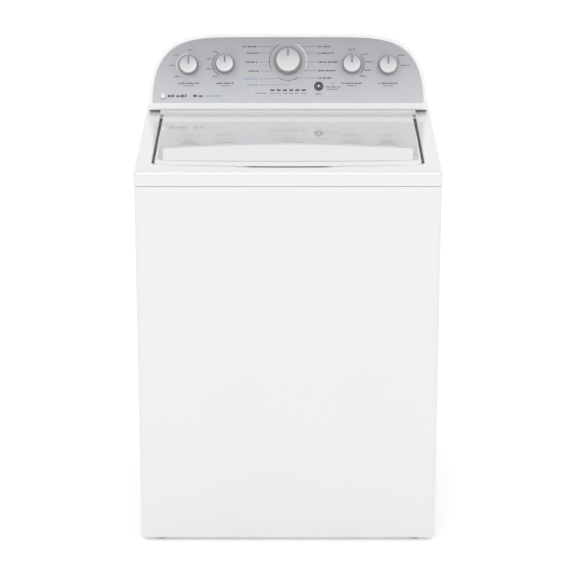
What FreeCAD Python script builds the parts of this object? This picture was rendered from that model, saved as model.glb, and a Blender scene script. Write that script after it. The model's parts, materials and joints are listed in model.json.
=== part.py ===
import FreeCAD, Part
import math
import os

from FreeCAD import Placement, Rotation, Vector

# Top load washing machine, in millimetres.
# X runs across the machine, Y from front to rear and Z up from the floor.
# The origin is on the floor, under the middle of the bounding box.

# Driving dimensions
WIDTH = 699.0
DEPTH = 686.0
TOP_Z = 914.0
FRONT_Y = -DEPTH / 2
REAR_Y = DEPTH / 2

# Cabinet
SHEET = 1.2
REVEAL = 1.0
WRAP_X = WIDTH / 2 - REVEAL
WRAP_FRONT = FRONT_Y + REVEAL
WRAP_REAR = 303.0
WRAP_BOTTOM = 8.0
SKIRT = 36.0
WRAP_TOP = TOP_Z - SKIRT - REVEAL
CORNER_R = 12.0
BOTTOM_EDGE_R = 4.0
TOP_FLANGE = 22.0
BOTTOM_FLANGE = 25.0
REAR_FLANGE = 30.0
INSIDE_X = WRAP_X - SHEET
INSIDE_FRONT = WRAP_FRONT + SHEET
INSIDE_REAR = WRAP_REAR - SHEET
FLOOR_Z = WRAP_BOTTOM + SHEET

# Top panel, with the recess that holds the lid and the mouth over the basket
PANEL_T = 2.0
PANEL_REAR = 307.0
PANEL_EDGE_R = 7.0
RECESS_X = 311.0
RECESS_CORNER_Y = -289.5
RECESS_REAR = 159.0
RECESS_BOW = 8.0
RECESS_Z = TOP_Z - 24.0
RECESS_CORNER_R = 19.0
REAR_CORNER_R = 5.0
MOUTH_X = 232.0
MOUTH_FRONT = -252.0
MOUTH_REAR = 110.0
MOUTH_R = 110.0
MOUTH_LIP_Z = 858.0

# Lid
LID_X = 304.5
LID_CORNER_Y = -286.5
LID_REAR = 154.0
LID_TOP = TOP_Z - 0.5
LID_BOTTOM = RECESS_Z + 2.0
LID_SKIN_T = 1.2
LID_CORNER_R = 15.0
LID_EDGE_R = 5.0
HINGE_Y = 148.0
HINGE_Z = 904.0
HINGE_PIN_R = 3.95
HINGE_BORE_R = 4.0
STRIKE_X = 270.0
STRIKE_Y = -100.0
BOLT_Z = 877.0

# Console, drawn in its own plane: u across, w up the sloping face, and out of the face
FACE_LEAN = 20.5
FACE_Y = 163.0
FACE_Z = TOP_Z + 8.0
FACE_X = 340.0
FACE_LENGTH = 187.0
FACE_WALL = 3.0
CONSOLE_REAR = 312.0
OVERLAY_MARGIN = 9.0
OVERLAY_FOOT = 17.0
OVERLAY_T = 0.8
PANEL_BACK = -(FACE_WALL + OVERLAY_T)
TOE_X = 312.0
TOE_FRONT = 168.0
TOE_REAR = 190.0
TOE_HEIGHT = 7.0

# Controls, as (name, u, w, base radius, face radius, height)
KNOBS = [
    ("load_knob", -243.0, 109.0, 24.5, 20.8, 24.0),
    ("soil_knob", -154.5, 112.0, 24.5, 20.8, 24.0),
    ("cycle_knob", 0.0, 120.0, 35.0, 28.5, 25.0),
    ("temperature_knob", 156.0, 111.5, 24.5, 20.8, 24.0),
    ("rinse_knob", 244.6, 109.0, 24.5, 20.8, 24.0),
]
KNOB_GAP = 0.6
STEM_R = 3.95
STEM_BORE_R = 4.0
START_U = 75.3
START_W = 57.8
START_R = 11.0
LENS_W = 48.0
LENS_PITCH = 15.3
LENS_COUNT = 6
LENS_SIZE = (10.0, 4.0)

# Suspended wash unit
TUB_Y = -20.0
TUB_R = 286.0
TUB_WALL = 3.0
TUB_BOTTOM = 190.0
TUB_RIM = 822.0
RING_BORE = 236.0
BASKET_R = 263.0
BASKET_WALL = 1.5
BASKET_TOP = 752.0
BALANCE_TOP = 800.0
BEARING_R = 30.0
SPIN_TUBE_R = 19.0
SHAFT_R = 10.0
RUNNING_GAP = 0.05
ROD_X = 285.0
ROD_REACH = 255.0
ROD_R = 3.0
EAR_Z = 330.0
EAR_T = 15.0
CUP_Z = 160.0

# Drive and pump
BELT_Z0 = 73.0
BELT_Z1 = 89.0
BELT_T = 3.5
BELT_GAP = 0.3
PULLEY_R = 105.0
MOTOR_PULLEY_R = 14.0
MOTOR_X = -170.0
MOTOR_R = 62.0
PUMP_X = 165.0
PUMP_Y = 60.0

# Feet
FOOT_X = 300.0
FOOT_Y = -310.0
FOOT_PAD_R = 17.0
FOOT_STEM_R = 4.95
FOOT_BORE_R = 5.0
LEG_Y = 258.0
LEG_PIVOT_Z = 24.0

# Hoses and cable, as the corners of their routes
DRAIN_ROUTE = [
    (185, 104, 160), (185, 190, 160), (192, 255, 214), (206, 272, 336),
    (222, 278, 500), (215, 275, 650), (215, 275, 770),
]
FILL_ROUTE = [(60, 282, 938), (60, 282, 895), (60, 246, 863), (60, 152, 863)]
HARNESS_ROUTE = [
    (-205, 244, 985), (-206, 262, 925), (-208, 272, 862), (-213, 279, 760), (-206, 284, 630),
    (-213, 281, 500), (-207, 284, 370), (-200, 268, 260), (-190, 205, 172), (-178, 122, 152),
    (-170, 43, 150),
]
DRAIN_HOSE_R = 14.0
DRAIN_BORE_R = 11.3
FILL_HOSE_R = 8.0
FILL_BORE_R = 6.0
HARNESS_R = 5.0
DRAIN_PORT_R = 14.0
GLAND_X = -255.0
GLAND_Z = 835.0
GLAND_BORE_R = 4.5
VALVE_X = 60.0
VALVE_Z = 960.0
PORT_R = 13.5
PORT_OFFSET = 32.0

CONSOLE_PLANE = Placement(Vector(0, FACE_Y, FACE_Z), Rotation(Vector(1, 0, 0), 90 - FACE_LEAN))
SIDES = (-1, 1)
BIG = 2000.0


# General shapes

def save(name, *shapes):
    """Write one sub-part, made of one or more separate solids."""
    whole = shapes[0] if len(shapes) == 1 else Part.makeCompound(list(shapes))
    whole.exportStep(f"parts/{name}.step")


def block(x, y, z):
    """Box between pairs of limits."""
    corner = Vector(x[0], y[0], z[0])
    return Part.makeBox(x[1] - x[0], y[1] - y[0], z[1] - z[0], corner)


def drum(radius, z0, z1, x=0.0, y=0.0):
    """Upright cylinder."""
    return Part.makeCylinder(radius, z1 - z0, Vector(x, y, z0))


def tube(outer, inner, z0, z1, x=0.0, y=0.0):
    """Upright tube."""
    return drum(outer, z0, z1, x, y).cut(drum(inner, z0, z1, x, y))


def bar(radius, start, end):
    """Round bar between two points."""
    run = Vector(*end) - Vector(*start)
    return Part.makeCylinder(radius, run.Length, Vector(*start), run)


def prism(points, z0, z1):
    """Upright prism over a polygon."""
    corners = [Vector(x, y, z0) for x, y in points]
    return Part.Face(Part.makePolygon(corners + corners[:1])).extrude(Vector(0, 0, z1 - z0))


def turned(profile, x=0.0, y=0.0):
    """Solid of revolution about an upright axis, from a profile of (radius, height)."""
    corners = [Vector(x + radius, y, z) for radius, z in profile]
    face = Part.Face(Part.makePolygon(corners + corners[:1]))
    return face.revolve(Vector(x, y, 0), Vector(0, 0, 1), 360)


def upright_edges(shape):
    return [edge for edge in shape.Edges if edge.BoundBox.ZLength > 0.99 * edge.Length]


def edges_at(shape, z):
    """Edges that lie in the level plane z."""
    flat = [edge for edge in shape.Edges if edge.BoundBox.ZLength < 0.01]
    return [edge for edge in flat if abs(edge.BoundBox.ZMin - z) < 0.01]


def rounded_block(x, y, z, radius):
    """Box with rounded upright edges."""
    solid = block(x, y, z)
    return solid.makeFillet(radius, upright_edges(solid))


def bowed_block(half_x, corner_y, bow, rear_y, z, radius, rear_radius):
    """Slab whose front edge bows forward in one arc, with rounded upright edges."""
    left = Vector(-half_x, corner_y, z[0])
    right = Vector(half_x, corner_y, z[0])
    rear_right = Vector(half_x, rear_y, z[0])
    rear_left = Vector(-half_x, rear_y, z[0])
    edges = [
        Part.Arc(left, Vector(0, corner_y - bow, z[0]), right).toShape(),
        Part.makeLine(right, rear_right),
        Part.makeLine(rear_right, rear_left),
        Part.makeLine(rear_left, left),
    ]
    solid = Part.Face(Part.Wire(edges)).extrude(Vector(0, 0, z[1] - z[0]))
    front_edges = [edge for edge in upright_edges(solid) if edge.BoundBox.YMax < 0]
    solid = solid.makeFillet(radius, front_edges)
    rear_edges = [edge for edge in upright_edges(solid) if edge.BoundBox.YMin > rear_y - 0.01]
    return solid.makeFillet(rear_radius, rear_edges)


def route_wire(route):
    """Straight runs joined by tangent arcs, and the arcs' radii."""
    points = [Vector(*point) for point in route]
    edges = []
    radii = []
    start = points[0]
    for before, corner, after in zip(points, points[1:], points[2:]):
        arrive = (corner - before).normalize()
        leave = (after - corner).normalize()
        half_turn = arrive.getAngle(leave) / 2
        reach = 0.45 * min((corner - before).Length, (after - corner).Length)
        radius = reach / math.tan(half_turn)
        first = corner - arrive * reach
        last = corner + leave * reach
        inward = (leave - arrive).normalize()
        centre = corner + inward * (radius / math.cos(half_turn))
        edges.append(Part.LineSegment(start, first).toShape())
        edges.append(Part.Arc(first, centre - inward * radius, last).toShape())
        radii.append(radius)
        start = last
    edges.append(Part.LineSegment(start, points[-1]).toShape())
    return Part.Wire(edges), radii


def hose(name, route, outer, inner=0.0):
    """Flexible line along a route. It prints its length and its arcs' radii."""
    path, radii = route_wire(route)
    start = Vector(*route[0])
    heading = Vector(*route[1]) - start
    skins = []
    for radius in (outer, inner):
        if radius:
            ring = Part.Wire(Part.Circle(start, heading, radius).toShape())
            skins.append(path.makePipeShell([ring], True, False))
    line = skins[0].cut(skins[1]) if inner else skins[0]
    section = math.pi * (outer ** 2 - inner ** 2)
    sizes = ", ".join(f"{radius:.0f}" for radius in radii)
    ratio = line.Volume / section / path.Length
    print(f"{name}: length {path.Length:.0f}, volume ratio {ratio:.3f}, radii {sizes}")
    return line


# Console shapes, in the face's own plane

def on_face(shape):
    """Move a shape from the console's plane to the machine."""
    placed = shape.copy()
    placed.Placement = CONSOLE_PLANE
    return placed


def console_prism(margin, out0, out1):
    """The console's outline, drawn in by a margin, between two distances out of the face."""
    half_width = FACE_X - margin
    height = FACE_LENGTH - margin
    quarter = []
    for degrees in (0, 15, 30, 45, 57, 68, 77, 84, 88.5, 89.8):
        angle = math.radians(degrees)
        across = half_width * math.cos(angle) ** (2 / 6.2)
        up = height * math.sin(angle) ** (2 / 2.6)
        quarter.append((across, up))
    points = [Vector(u, w, out0) for u, w in quarter]
    points.append(Vector(0, height, out0))
    points += [Vector(-u, w, out0) for u, w in reversed(quarter)]
    crown = Part.BSplineCurve()
    crown.interpolate(points)
    foot = Part.makeLine(points[-1], points[0])
    return Part.Face(Part.Wire([crown.toShape(), foot])).extrude(Vector(0, 0, out1 - out0))


def above_foot(shape, foot):
    """Keep what lies above a level of the face."""
    return shape.common(Part.makeBox(BIG, BIG, BIG, Vector(-BIG / 2, foot, -BIG / 2)))


def lens_places():
    first = -LENS_PITCH * (LENS_COUNT - 1) / 2
    return [first + LENS_PITCH * index for index in range(LENS_COUNT)]


def lens_box(u, back, front):
    width, height = LENS_SIZE
    return Part.makeBox(width, height, front - back, Vector(u - width / 2, LENS_W - height / 2, back))


def control_holes(back, front):
    """Cutters for the knob stems, the start button and the indicator windows."""
    depth = front - back
    cutters = [Part.makeCylinder(6.0, depth, Vector(u, w, back)) for _, u, w, _, _, _ in KNOBS]
    cutters.append(Part.makeCylinder(START_R + 0.4, depth, Vector(START_U, START_W, back)))
    cutters += [lens_box(u, back, front) for u in lens_places()]
    return Part.makeCompound(cutters)


# Cabinet

def wrap_block(inset, z, radius):
    x = (-WRAP_X + inset, WRAP_X - inset)
    y = (WRAP_FRONT + inset, WRAP_REAR - inset)
    return rounded_block(x, y, z, radius)


def screw_places():
    heights = (80.0, 330.0, 580.0, 820.0)
    return [(side * (WRAP_X - REAR_FLANGE / 2), z) for side in SIDES for z in heights]


def cabinet_wrap():
    """Front and sides in one bent sheet, with flanges turned in at the top, bottom and rear."""
    outer = wrap_block(0, (WRAP_BOTTOM, WRAP_TOP), CORNER_R)
    outer = outer.makeFillet(BOTTOM_EDGE_R, edges_at(outer, WRAP_BOTTOM))
    inner = wrap_block(SHEET, (FLOOR_Z, WRAP_TOP - SHEET), CORNER_R - SHEET)
    inner = inner.makeFillet(BOTTOM_EDGE_R - SHEET, edges_at(inner, FLOOR_Z))
    shell = outer.cut(inner)
    shell = shell.cut(wrap_block(TOP_FLANGE, (WRAP_TOP - 5, WRAP_TOP + 5), 6))
    shell = shell.cut(wrap_block(BOTTOM_FLANGE, (WRAP_BOTTOM - 5, WRAP_BOTTOM + 5), 6))
    opening = WRAP_X - REAR_FLANGE
    shell = shell.cut(block((-opening, opening), (WRAP_REAR - 5, WRAP_REAR + 5), (40, WRAP_TOP - 30)))
    holes = [bar(2.2, (x, WRAP_REAR - 5, z), (x, WRAP_REAR + 5, z)) for x, z in screw_places()]
    return shell.cut(Part.makeCompound(holes))


def rear_panel():
    """Screwed-on back with a pressed-out field, louvres and two ports."""
    x, bottom, top, rise = WRAP_X - 6, 24.0, WRAP_TOP - 6, 7.0
    face = WRAP_REAR + SHEET
    plate = block((-x, x), (WRAP_REAR, face), (bottom, top))
    field = block((-285, 185), (WRAP_REAR, face + rise), (110, 700))
    field = field.makeFillet(5, [edge for edge in field.Edges if edge.BoundBox.YMin > face])
    hollow = block((-285 + SHEET, 185 - SHEET), (WRAP_REAR - 5, face + rise - SHEET), (111.2, 698.8))
    hollow = hollow.makeFillet(5 - SHEET, [edge for edge in hollow.Edges if edge.BoundBox.YMin > face])
    panel = plate.fuse(field).cut(hollow)
    for row in range(6):
        z = 150.0 + 26 * row
        panel = panel.cut(block((-240, -120), (face + rise - 3, face + rise + 3), (z, z + 5)))
    holes = [bar(2.2, (screw_x, WRAP_REAR - 5, z), (screw_x, face + 5, z)) for screw_x, z in screw_places()]
    holes.append(bar(DRAIN_PORT_R, (215, WRAP_REAR - 5, 790), (215, face + 5, 790)))
    holes.append(bar(9.0, (GLAND_X, WRAP_REAR - 5, GLAND_Z), (GLAND_X, face + 5, GLAND_Z)))
    return panel.cut(Part.makeCompound(holes))


def panel_screws():
    """Eight hexagon washer head screws in the rear panel."""
    face = WRAP_REAR + SHEET
    screws = []
    for x, z in screw_places():
        head = Part.Face(Part.makePolygon(hexagon(x, z, 4.6, face + 1))).extrude(Vector(0, 3.4, 0))
        washer = bar(6.0, (x, face, z), (x, face + 1, z))
        shank = bar(2.0, (x, WRAP_REAR - 9, z), (x, face, z))
        screws.append(head.fuse([washer, shank]))
    return screws


def hexagon(x, z, radius, y):
    corners = []
    for index in range(7):
        angle = math.radians(60 * index)
        corners.append(Vector(x + radius * math.cos(angle), y, z + radius * math.sin(angle)))
    return corners


def corner_frames():
    """Signs and wall positions of the four inside corners."""
    return [(side, end, side * INSIDE_X, INSIDE_FRONT if end < 0 else INSIDE_REAR)
            for side in SIDES for end in SIDES]


def base_frame():
    """Corner plates and cross rails on the wrap's bottom flange."""
    pieces = []
    for side, end, wall_x, wall_y in corner_frames():
        reach = 70.0 if end < 0 else 22.0
        outline = [(14, BOTTOM_EDGE_R), (BOTTOM_EDGE_R, 14), (BOTTOM_EDGE_R, reach), (84, reach),
                   (84, BOTTOM_EDGE_R)]
        corners = [(wall_x - side * x, wall_y - end * y) for x, y in outline]
        plate = prism(corners, FLOOR_Z, FLOOR_Z + 3)
        if end < 0:
            boss = drum(12, FLOOR_Z + 3, 26, side * FOOT_X, FOOT_Y)
            bore = drum(FOOT_BORE_R, 0, 40, side * FOOT_X, FOOT_Y)
            plate = plate.fuse(boss).cut(bore)
        pieces.append(plate)
    for y0, y1 in ((INSIDE_FRONT + BOTTOM_EDGE_R, INSIDE_FRONT + 40), (272.0, INSIDE_REAR - BOTTOM_EDGE_R)):
        rail = block((-262, 262), (y0, y1), (FLOOR_Z, 40))
        rail = rail.cut(block((-263, 263), (y0 + 1.5, y1 - 1.5), (FLOOR_Z + 1.5, 41)))
        if y0 > 0:
            pivot = bar(FOOT_STEM_R, (0, LEG_Y - 9, LEG_PIVOT_Z), (0, y0, LEG_PIVOT_Z))
            rail = rail.fuse(pivot)
        pieces.append(rail)
    return pieces


def top_gussets():
    """Pressed corner plates that carry the suspension rods."""
    plates = []
    low, high = 862.0, WRAP_TOP - SHEET
    for side, end, wall_x, wall_y in corner_frames():
        def corners(outline):
            return [(wall_x - side * x, wall_y - end * y) for x, y in outline]
        plate = prism(corners([(14, 0), (0, 14), (0, 120), (45, 110), (110, 45), (120, 0)]), low, low + 3)
        side_tab = prism(corners([(0, 14), (0, 120), (2, 120), (2, 14)]), low, high)
        end_tab = prism(corners([(14, 0), (120, 0), (120, 2), (14, 2)]), low, high)
        hole = drum(4.5, low - 5, high, side * ROD_X, TUB_Y + end * ROD_REACH)
        plates.append(plate.fuse([side_tab, end_tab]).cut(hole))
    return plates


def rod_places():
    return [(side * ROD_X, TUB_Y + end * ROD_REACH) for side in SIDES for end in SIDES]


def suspension_rods():
    rods = []
    for x, y in rod_places():
        head = Part.makeSphere(10, Vector(x, y, 865), Vector(0, 0, 1), 0, 90, 360)
        rods.append(drum(ROD_R, CUP_Z - 4, 865, x, y).fuse(head))
    return rods


def rod_end_cups():
    profile = [(ROD_R, 0), (18, 0), (25, 8), (25, 20), (22.5, 20), (22.5, 12), (ROD_R, 12)]
    return [turned([(radius, CUP_Z + z) for radius, z in profile], x, y) for x, y in rod_places()]


def suspension_springs():
    """Outer shape of the four coil springs under the tub's ears."""
    return [tube(21.0, 16.0, CUP_Z + 12, EAR_Z, x, y) for x, y in rod_places()]


def foot_locknuts():
    nuts = []
    for side in SIDES:
        corners = []
        for index in range(6):
            angle = math.radians(60 * index)
            corners.append((side * FOOT_X + 9.8 * math.cos(angle), FOOT_Y + 9.8 * math.sin(angle)))
        nuts.append(prism(corners, 26, 33).cut(drum(FOOT_BORE_R, 20, 40, side * FOOT_X, FOOT_Y)))
    return nuts


# Top panel and lid

def recess_block(grow, z):
    return bowed_block(RECESS_X + grow, RECESS_CORNER_Y - grow, RECESS_BOW, RECESS_REAR + grow, z,
                       RECESS_CORNER_R + grow, REAR_CORNER_R + grow)


def mouth_block(grow, z):
    return rounded_block((-MOUTH_X - grow, MOUTH_X + grow), (MOUTH_FRONT - grow, MOUTH_REAR + grow), z,
                         MOUTH_R + grow)


def top_panel():
    """Worktop pressing with a recess for the lid and a flanged mouth over the basket."""
    low = TOP_Z - SKIRT
    outer = rounded_block((-WIDTH / 2, WIDTH / 2), (FRONT_Y, PANEL_REAR), (low, TOP_Z), CORNER_R)
    outer = outer.makeFillet(PANEL_EDGE_R, edges_at(outer, TOP_Z))
    inner_x = WIDTH / 2 - PANEL_T
    inner = rounded_block((-inner_x, inner_x), (FRONT_Y + PANEL_T, PANEL_REAR - PANEL_T),
                          (low - 1, TOP_Z - PANEL_T), CORNER_R - PANEL_T)
    inner = inner.makeFillet(PANEL_EDGE_R - PANEL_T, edges_at(inner, TOP_Z - PANEL_T))
    panel = outer.cut(inner)
    panel = panel.fuse(recess_block(PANEL_T, (RECESS_Z - PANEL_T, TOP_Z - PANEL_T / 2)))
    panel = panel.cut(recess_block(0, (RECESS_Z, TOP_Z + 5)))
    panel = panel.fuse(mouth_block(PANEL_T, (MOUTH_LIP_Z, RECESS_Z - PANEL_T / 2)))
    panel = panel.cut(mouth_block(0, (MOUTH_LIP_Z - 5, RECESS_Z + 5)))
    for side in SIDES:
        for y in (-326.0, -20.0, 290.0):
            seat = block(sorted((side * 328.0, side * 340.0)), (y - 8, y + 8), (WRAP_TOP, TOP_Z - 1))
            panel = panel.fuse(seat)
        panel = panel.cut(bar(7.0, (side * 305, HINGE_Y, HINGE_Z), (side * 315, HINGE_Y, HINGE_Z)))
    panel = panel.cut(block((STRIKE_X - 8, STRIKE_X + 8), (STRIKE_Y - 18, STRIKE_Y + 18),
                            (RECESS_Z - 5, RECESS_Z + 5)))
    panel = panel.cut(drum(12, TOP_Z - 10, TOP_Z + 5, FILL_ROUTE[0][0], FILL_ROUTE[0][1]))
    panel = panel.cut(drum(10, TOP_Z - 10, TOP_Z + 5, -206, 264))
    return panel.cut(block((50, 70), (MOUTH_REAR - 1, MOUTH_REAR + 5), (MOUTH_LIP_Z + 3, RECESS_Z - 12)))


def lid_skin():
    """Painted steel lid, turned down along its four edges."""
    outer = bowed_block(LID_X, LID_CORNER_Y, RECESS_BOW, LID_REAR, (LID_BOTTOM, LID_TOP), LID_CORNER_R,
                        REAR_CORNER_R)
    outer = outer.makeFillet(LID_EDGE_R, edges_at(outer, LID_TOP))
    inner = bowed_block(LID_X - LID_SKIN_T, LID_CORNER_Y + LID_SKIN_T, RECESS_BOW, LID_REAR - LID_SKIN_T,
                        (LID_BOTTOM - 1, LID_TOP - LID_SKIN_T), LID_CORNER_R - LID_SKIN_T,
                        REAR_CORNER_R - LID_SKIN_T)
    inner = inner.makeFillet(LID_EDGE_R - LID_SKIN_T, edges_at(inner, LID_TOP - LID_SKIN_T))
    skin = outer.cut(inner)
    return skin.cut(bar(HINGE_BORE_R, (-320, HINGE_Y, HINGE_Z), (320, HINGE_Y, HINGE_Z)))


def lid_liner():
    """Moulded inner lid with an upstand and cross ribs."""
    gap = LID_SKIN_T + 0.3
    floor_z = LID_BOTTOM + 1
    high = LID_TOP - 4
    x, front, rear = LID_X - gap, LID_CORNER_Y + gap, LID_REAR - gap - 14
    wall = 2.5
    radius = LID_CORNER_R - gap
    tray = bowed_block(x, front, RECESS_BOW, rear, (floor_z, high), radius, radius)
    tray = tray.cut(bowed_block(x - wall, front + wall, RECESS_BOW, rear - wall, (floor_z + wall, high + 1),
                                radius - wall, radius - wall))
    ribs = [block((-x + 2, x - 2), (y - 1, y + 1), (floor_z + 2, high - 1)) for y in (-190.0, -75.0, 40.0)]
    return tray.fuse(ribs)


def lid_hinge_pins():
    pins = []
    for side in SIDES:
        pin = bar(HINGE_PIN_R, (side * 284, HINGE_Y, HINGE_Z), (side * 318, HINGE_Y, HINGE_Z))
        arm = block(sorted((side * 284.0, side * 296.0)), (140, HINGE_Y + 3), (LID_BOTTOM + 5, LID_TOP - 4))
        pins.append(pin.fuse(arm))
    return pins


def lid_hinge_bushes():
    bushes = []
    for side in SIDES:
        bush = bar(7.0, (side * RECESS_X, HINGE_Y, HINGE_Z), (side * 321, HINGE_Y, HINGE_Z))
        seat = RECESS_X + PANEL_T
        flange = bar(9.5, (side * seat, HINGE_Y, HINGE_Z - 3), (side * (seat + 2.5), HINGE_Y, HINGE_Z - 3))
        bore = bar(HINGE_BORE_R, (side * 300, HINGE_Y, HINGE_Z), (side * 330, HINGE_Y, HINGE_Z))
        bushes.append(bush.fuse(flange).cut(bore))
    return bushes


def lid_bumpers():
    """Four rubber buttons under the lid's corners."""
    profile = [(0, -2.7), (5, -2.7), (7, -1), (7, 0), (0, 0)]
    floor_z = LID_BOTTOM + 1
    places = [(side * 288, y) for side in SIDES for y in (-268, 118)]
    return [turned([(radius, floor_z + z) for radius, z in profile], x, y) for x, y in places]


def lid_strike():
    """Tongue under the lid, with a window for the lock's bolt."""
    floor_z = LID_BOTTOM + 1
    foot = block((STRIKE_X - 7, STRIKE_X + 7), (STRIKE_Y - 14, STRIKE_Y + 14), (floor_z - 2.4, floor_z))
    tongue = block((STRIKE_X - 1.5, STRIKE_X + 1.5), (STRIKE_Y - 12, STRIKE_Y + 12), (868, floor_z))
    window = block((STRIKE_X - 5, STRIKE_X + 5), (STRIKE_Y - 7, STRIKE_Y + 7), (BOLT_Z - 5, BOLT_Z + 5))
    return foot.fuse(tongue).cut(window)


def lid_lock_housing():
    low, high = MOUTH_LIP_Z, RECESS_Z - PANEL_T
    body = block((STRIKE_X - 14, STRIKE_X + 52), (STRIKE_Y - 30, STRIKE_Y + 30), (low, high))
    pocket = block((STRIKE_X - 8, STRIKE_X + 8), (STRIKE_Y - 18, STRIKE_Y + 18), (low + 6, high + 1))
    y = (STRIKE_Y - 4.3, STRIKE_Y + 4.3)
    channel = block((STRIKE_X - 12, STRIKE_X + 40), y, (BOLT_Z - 3.3, BOLT_Z + 3.3))
    return body.cut(pocket).cut(channel)


def lid_lock_bolt():
    return block((STRIKE_X + 4, STRIKE_X + 28), (STRIKE_Y - 4, STRIKE_Y + 4), (BOLT_Z - 3, BOLT_Z + 3))


# Console

def console_shell():
    """Moulded housing with a sloping face and a top that falls to the rear."""
    solid = console_prism(0, 0, -240)
    hollow = above_foot(console_prism(FACE_WALL, PANEL_BACK, -260), FACE_WALL)
    seat = above_foot(console_prism(OVERLAY_MARGIN, -OVERLAY_T, 5), OVERLAY_FOOT)
    shell = solid.cut(hollow).cut(seat).cut(control_holes(PANEL_BACK - 5, 5))
    room = block((-BIG / 2, BIG / 2), (0, CONSOLE_REAR), (TOP_Z, BIG))
    toe = block((-TOE_X, TOE_X), (TOE_FRONT, TOE_REAR), (TOP_Z, TOP_Z + TOE_HEIGHT))
    return on_face(shell).common(room).fuse(toe)


def control_overlay():
    film = above_foot(console_prism(OVERLAY_MARGIN, -OVERLAY_T, 0), OVERLAY_FOOT)
    return on_face(film.cut(control_holes(-5, 5)))


def console_back_cover():
    """Rear plate with holes for the two water ports."""
    plug = on_face(above_foot(console_prism(FACE_WALL, 0, -260), FACE_WALL))
    cover = plug.common(block((-BIG / 2, BIG / 2), (CONSOLE_REAR - 2.5, CONSOLE_REAR), (TOP_Z, BIG)))
    for x in port_places():
        cover = cover.cut(bar(15.0, (x, CONSOLE_REAR - 20, VALVE_Z), (x, CONSOLE_REAR + 20, VALVE_Z)))
    return cover


def control_board():
    """Circuit board with relays, a connector row and the start switch."""
    face = PANEL_BACK - 27.2
    board = Part.makeBox(540, 96, 1.6, Vector(-270, 46, face - 1.6))
    fittings = [Part.makeBox(22, 16, 14, Vector(90 + 30 * index, 60, face - 15.6)) for index in range(3)]
    fittings.append(Part.makeBox(90, 9, 11, Vector(-150, 50, face - 12.6)))
    fittings.append(Part.makeCylinder(5, 3, Vector(START_U, START_W, face)))
    return on_face(board.fuse(fittings))


def selector_encoders():
    """Rotary switches behind the five knobs."""
    switches = []
    for _, u, w, _, _, _ in KNOBS:
        body = Part.makeCylinder(13, 27.2, Vector(u, w, PANEL_BACK - 27.2))
        bore = Part.makeCylinder(STEM_BORE_R, 40, Vector(u, w, PANEL_BACK - 30))
        switches.append(on_face(body.cut(bore)))
    return switches


def indicator_lenses():
    return [on_face(lens_box(u, PANEL_BACK, 0)) for u in lens_places()]


def knob(u, w, base_r, face_r, height):
    """Smooth tapered knob on a stem, with a pointer groove at its top edge."""
    place = Vector(u, w, KNOB_GAP)
    body = Part.makeCone(base_r, face_r, height - KNOB_GAP, place)
    rim = [edge for edge in body.Edges if edge.BoundBox.ZLength < 0.01 and edge.BoundBox.ZMin > height / 2]
    body = body.makeFillet(1.6, rim)
    stem = Part.makeCylinder(STEM_R, 24, Vector(u, w, KNOB_GAP - 24))
    groove = Part.makeBox(3.6, 20, 3, Vector(u - 1.8, w + face_r - 19, height - 0.7))
    return on_face(body.fuse(stem).cut(groove))


def start_button():
    cap = Part.makeCylinder(START_R, 14, Vector(START_U, START_W, -11))
    front = [edge for edge in cap.Edges if edge.BoundBox.ZLength < 0.01 and edge.BoundBox.ZMin > 0]
    cap = cap.makeFillet(1.2, front)
    plunger = Part.makeCylinder(3, 14, Vector(START_U, START_W, -25))
    return on_face(cap.fuse(plunger))


# Water and power

def port_places():
    return [VALVE_X + side * PORT_OFFSET for side in SIDES]


def inlet_valve():
    """Hot and cold valve with two rear ports, two solenoids and one outlet."""
    body = block((VALVE_X - 52, VALVE_X + 52), (268, 299), (940, 980))
    body = body.makeFillet(4, upright_edges(body))
    additions = []
    bores = []
    for x in port_places():
        additions.append(bar(PORT_R, (x, 295, VALVE_Z), (x, REAR_Y, VALVE_Z)))
        additions.append(bar(16.5, (x, 295, VALVE_Z), (x, 303, VALVE_Z)))
        additions.append(drum(15, 978, 1012, x, 284))
        bores.append(bar(9.0, (x, 305, VALVE_Z), (x, REAR_Y + 1, VALVE_Z)))
    additions.append(drum(FILL_BORE_R, 920, 945, FILL_ROUTE[0][0], FILL_ROUTE[0][1]))
    return body.fuse(additions).cut(Part.makeCompound(bores))


def fill_nozzle():
    """Spout behind the mouth's rear flange, aimed into the basket."""
    x = FILL_ROUTE[-1][0]
    body = block((x - 16, x + 16), (MOUTH_REAR + PANEL_T, 146), (854, RECESS_Z - PANEL_T))
    y = (MOUTH_REAR - 6, MOUTH_REAR + 6)
    spout = block((x - 9.5, x + 9.5), y, (MOUTH_LIP_Z + 3.5, RECESS_Z - 12.5))
    inlet = bar(FILL_BORE_R, (x, 140, 863), (x, 164, 863))
    bore = bar(4.5, (x, MOUTH_REAR - 10, 866), (x, 140, 864))
    return body.fuse([spout, inlet]).cut(bore)


def drain_port():
    """Elbow that carries the drain hose out through the rear panel."""
    x, y, z = 215.0, 275.0, 790.0
    face = WRAP_REAR + SHEET
    elbow = drum(DRAIN_BORE_R, 752, z, x, y)
    shoulder = drum(DRAIN_PORT_R, 770, z, x, y)
    knuckle = Part.makeSphere(DRAIN_PORT_R, Vector(x, y, z))
    spigot = bar(DRAIN_PORT_R, (x, y, z), (x, 335, z))
    flange = bar(21.0, (x, face, z), (x, face + 3, z))
    solid = elbow.fuse([shoulder, knuckle, spigot, flange])
    bores = [drum(9, 750, z, x, y), Part.makeSphere(9, Vector(x, y, z)), bar(9, (x, y, z), (x, 336, z))]
    return solid.cut(Part.makeCompound(bores))


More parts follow.
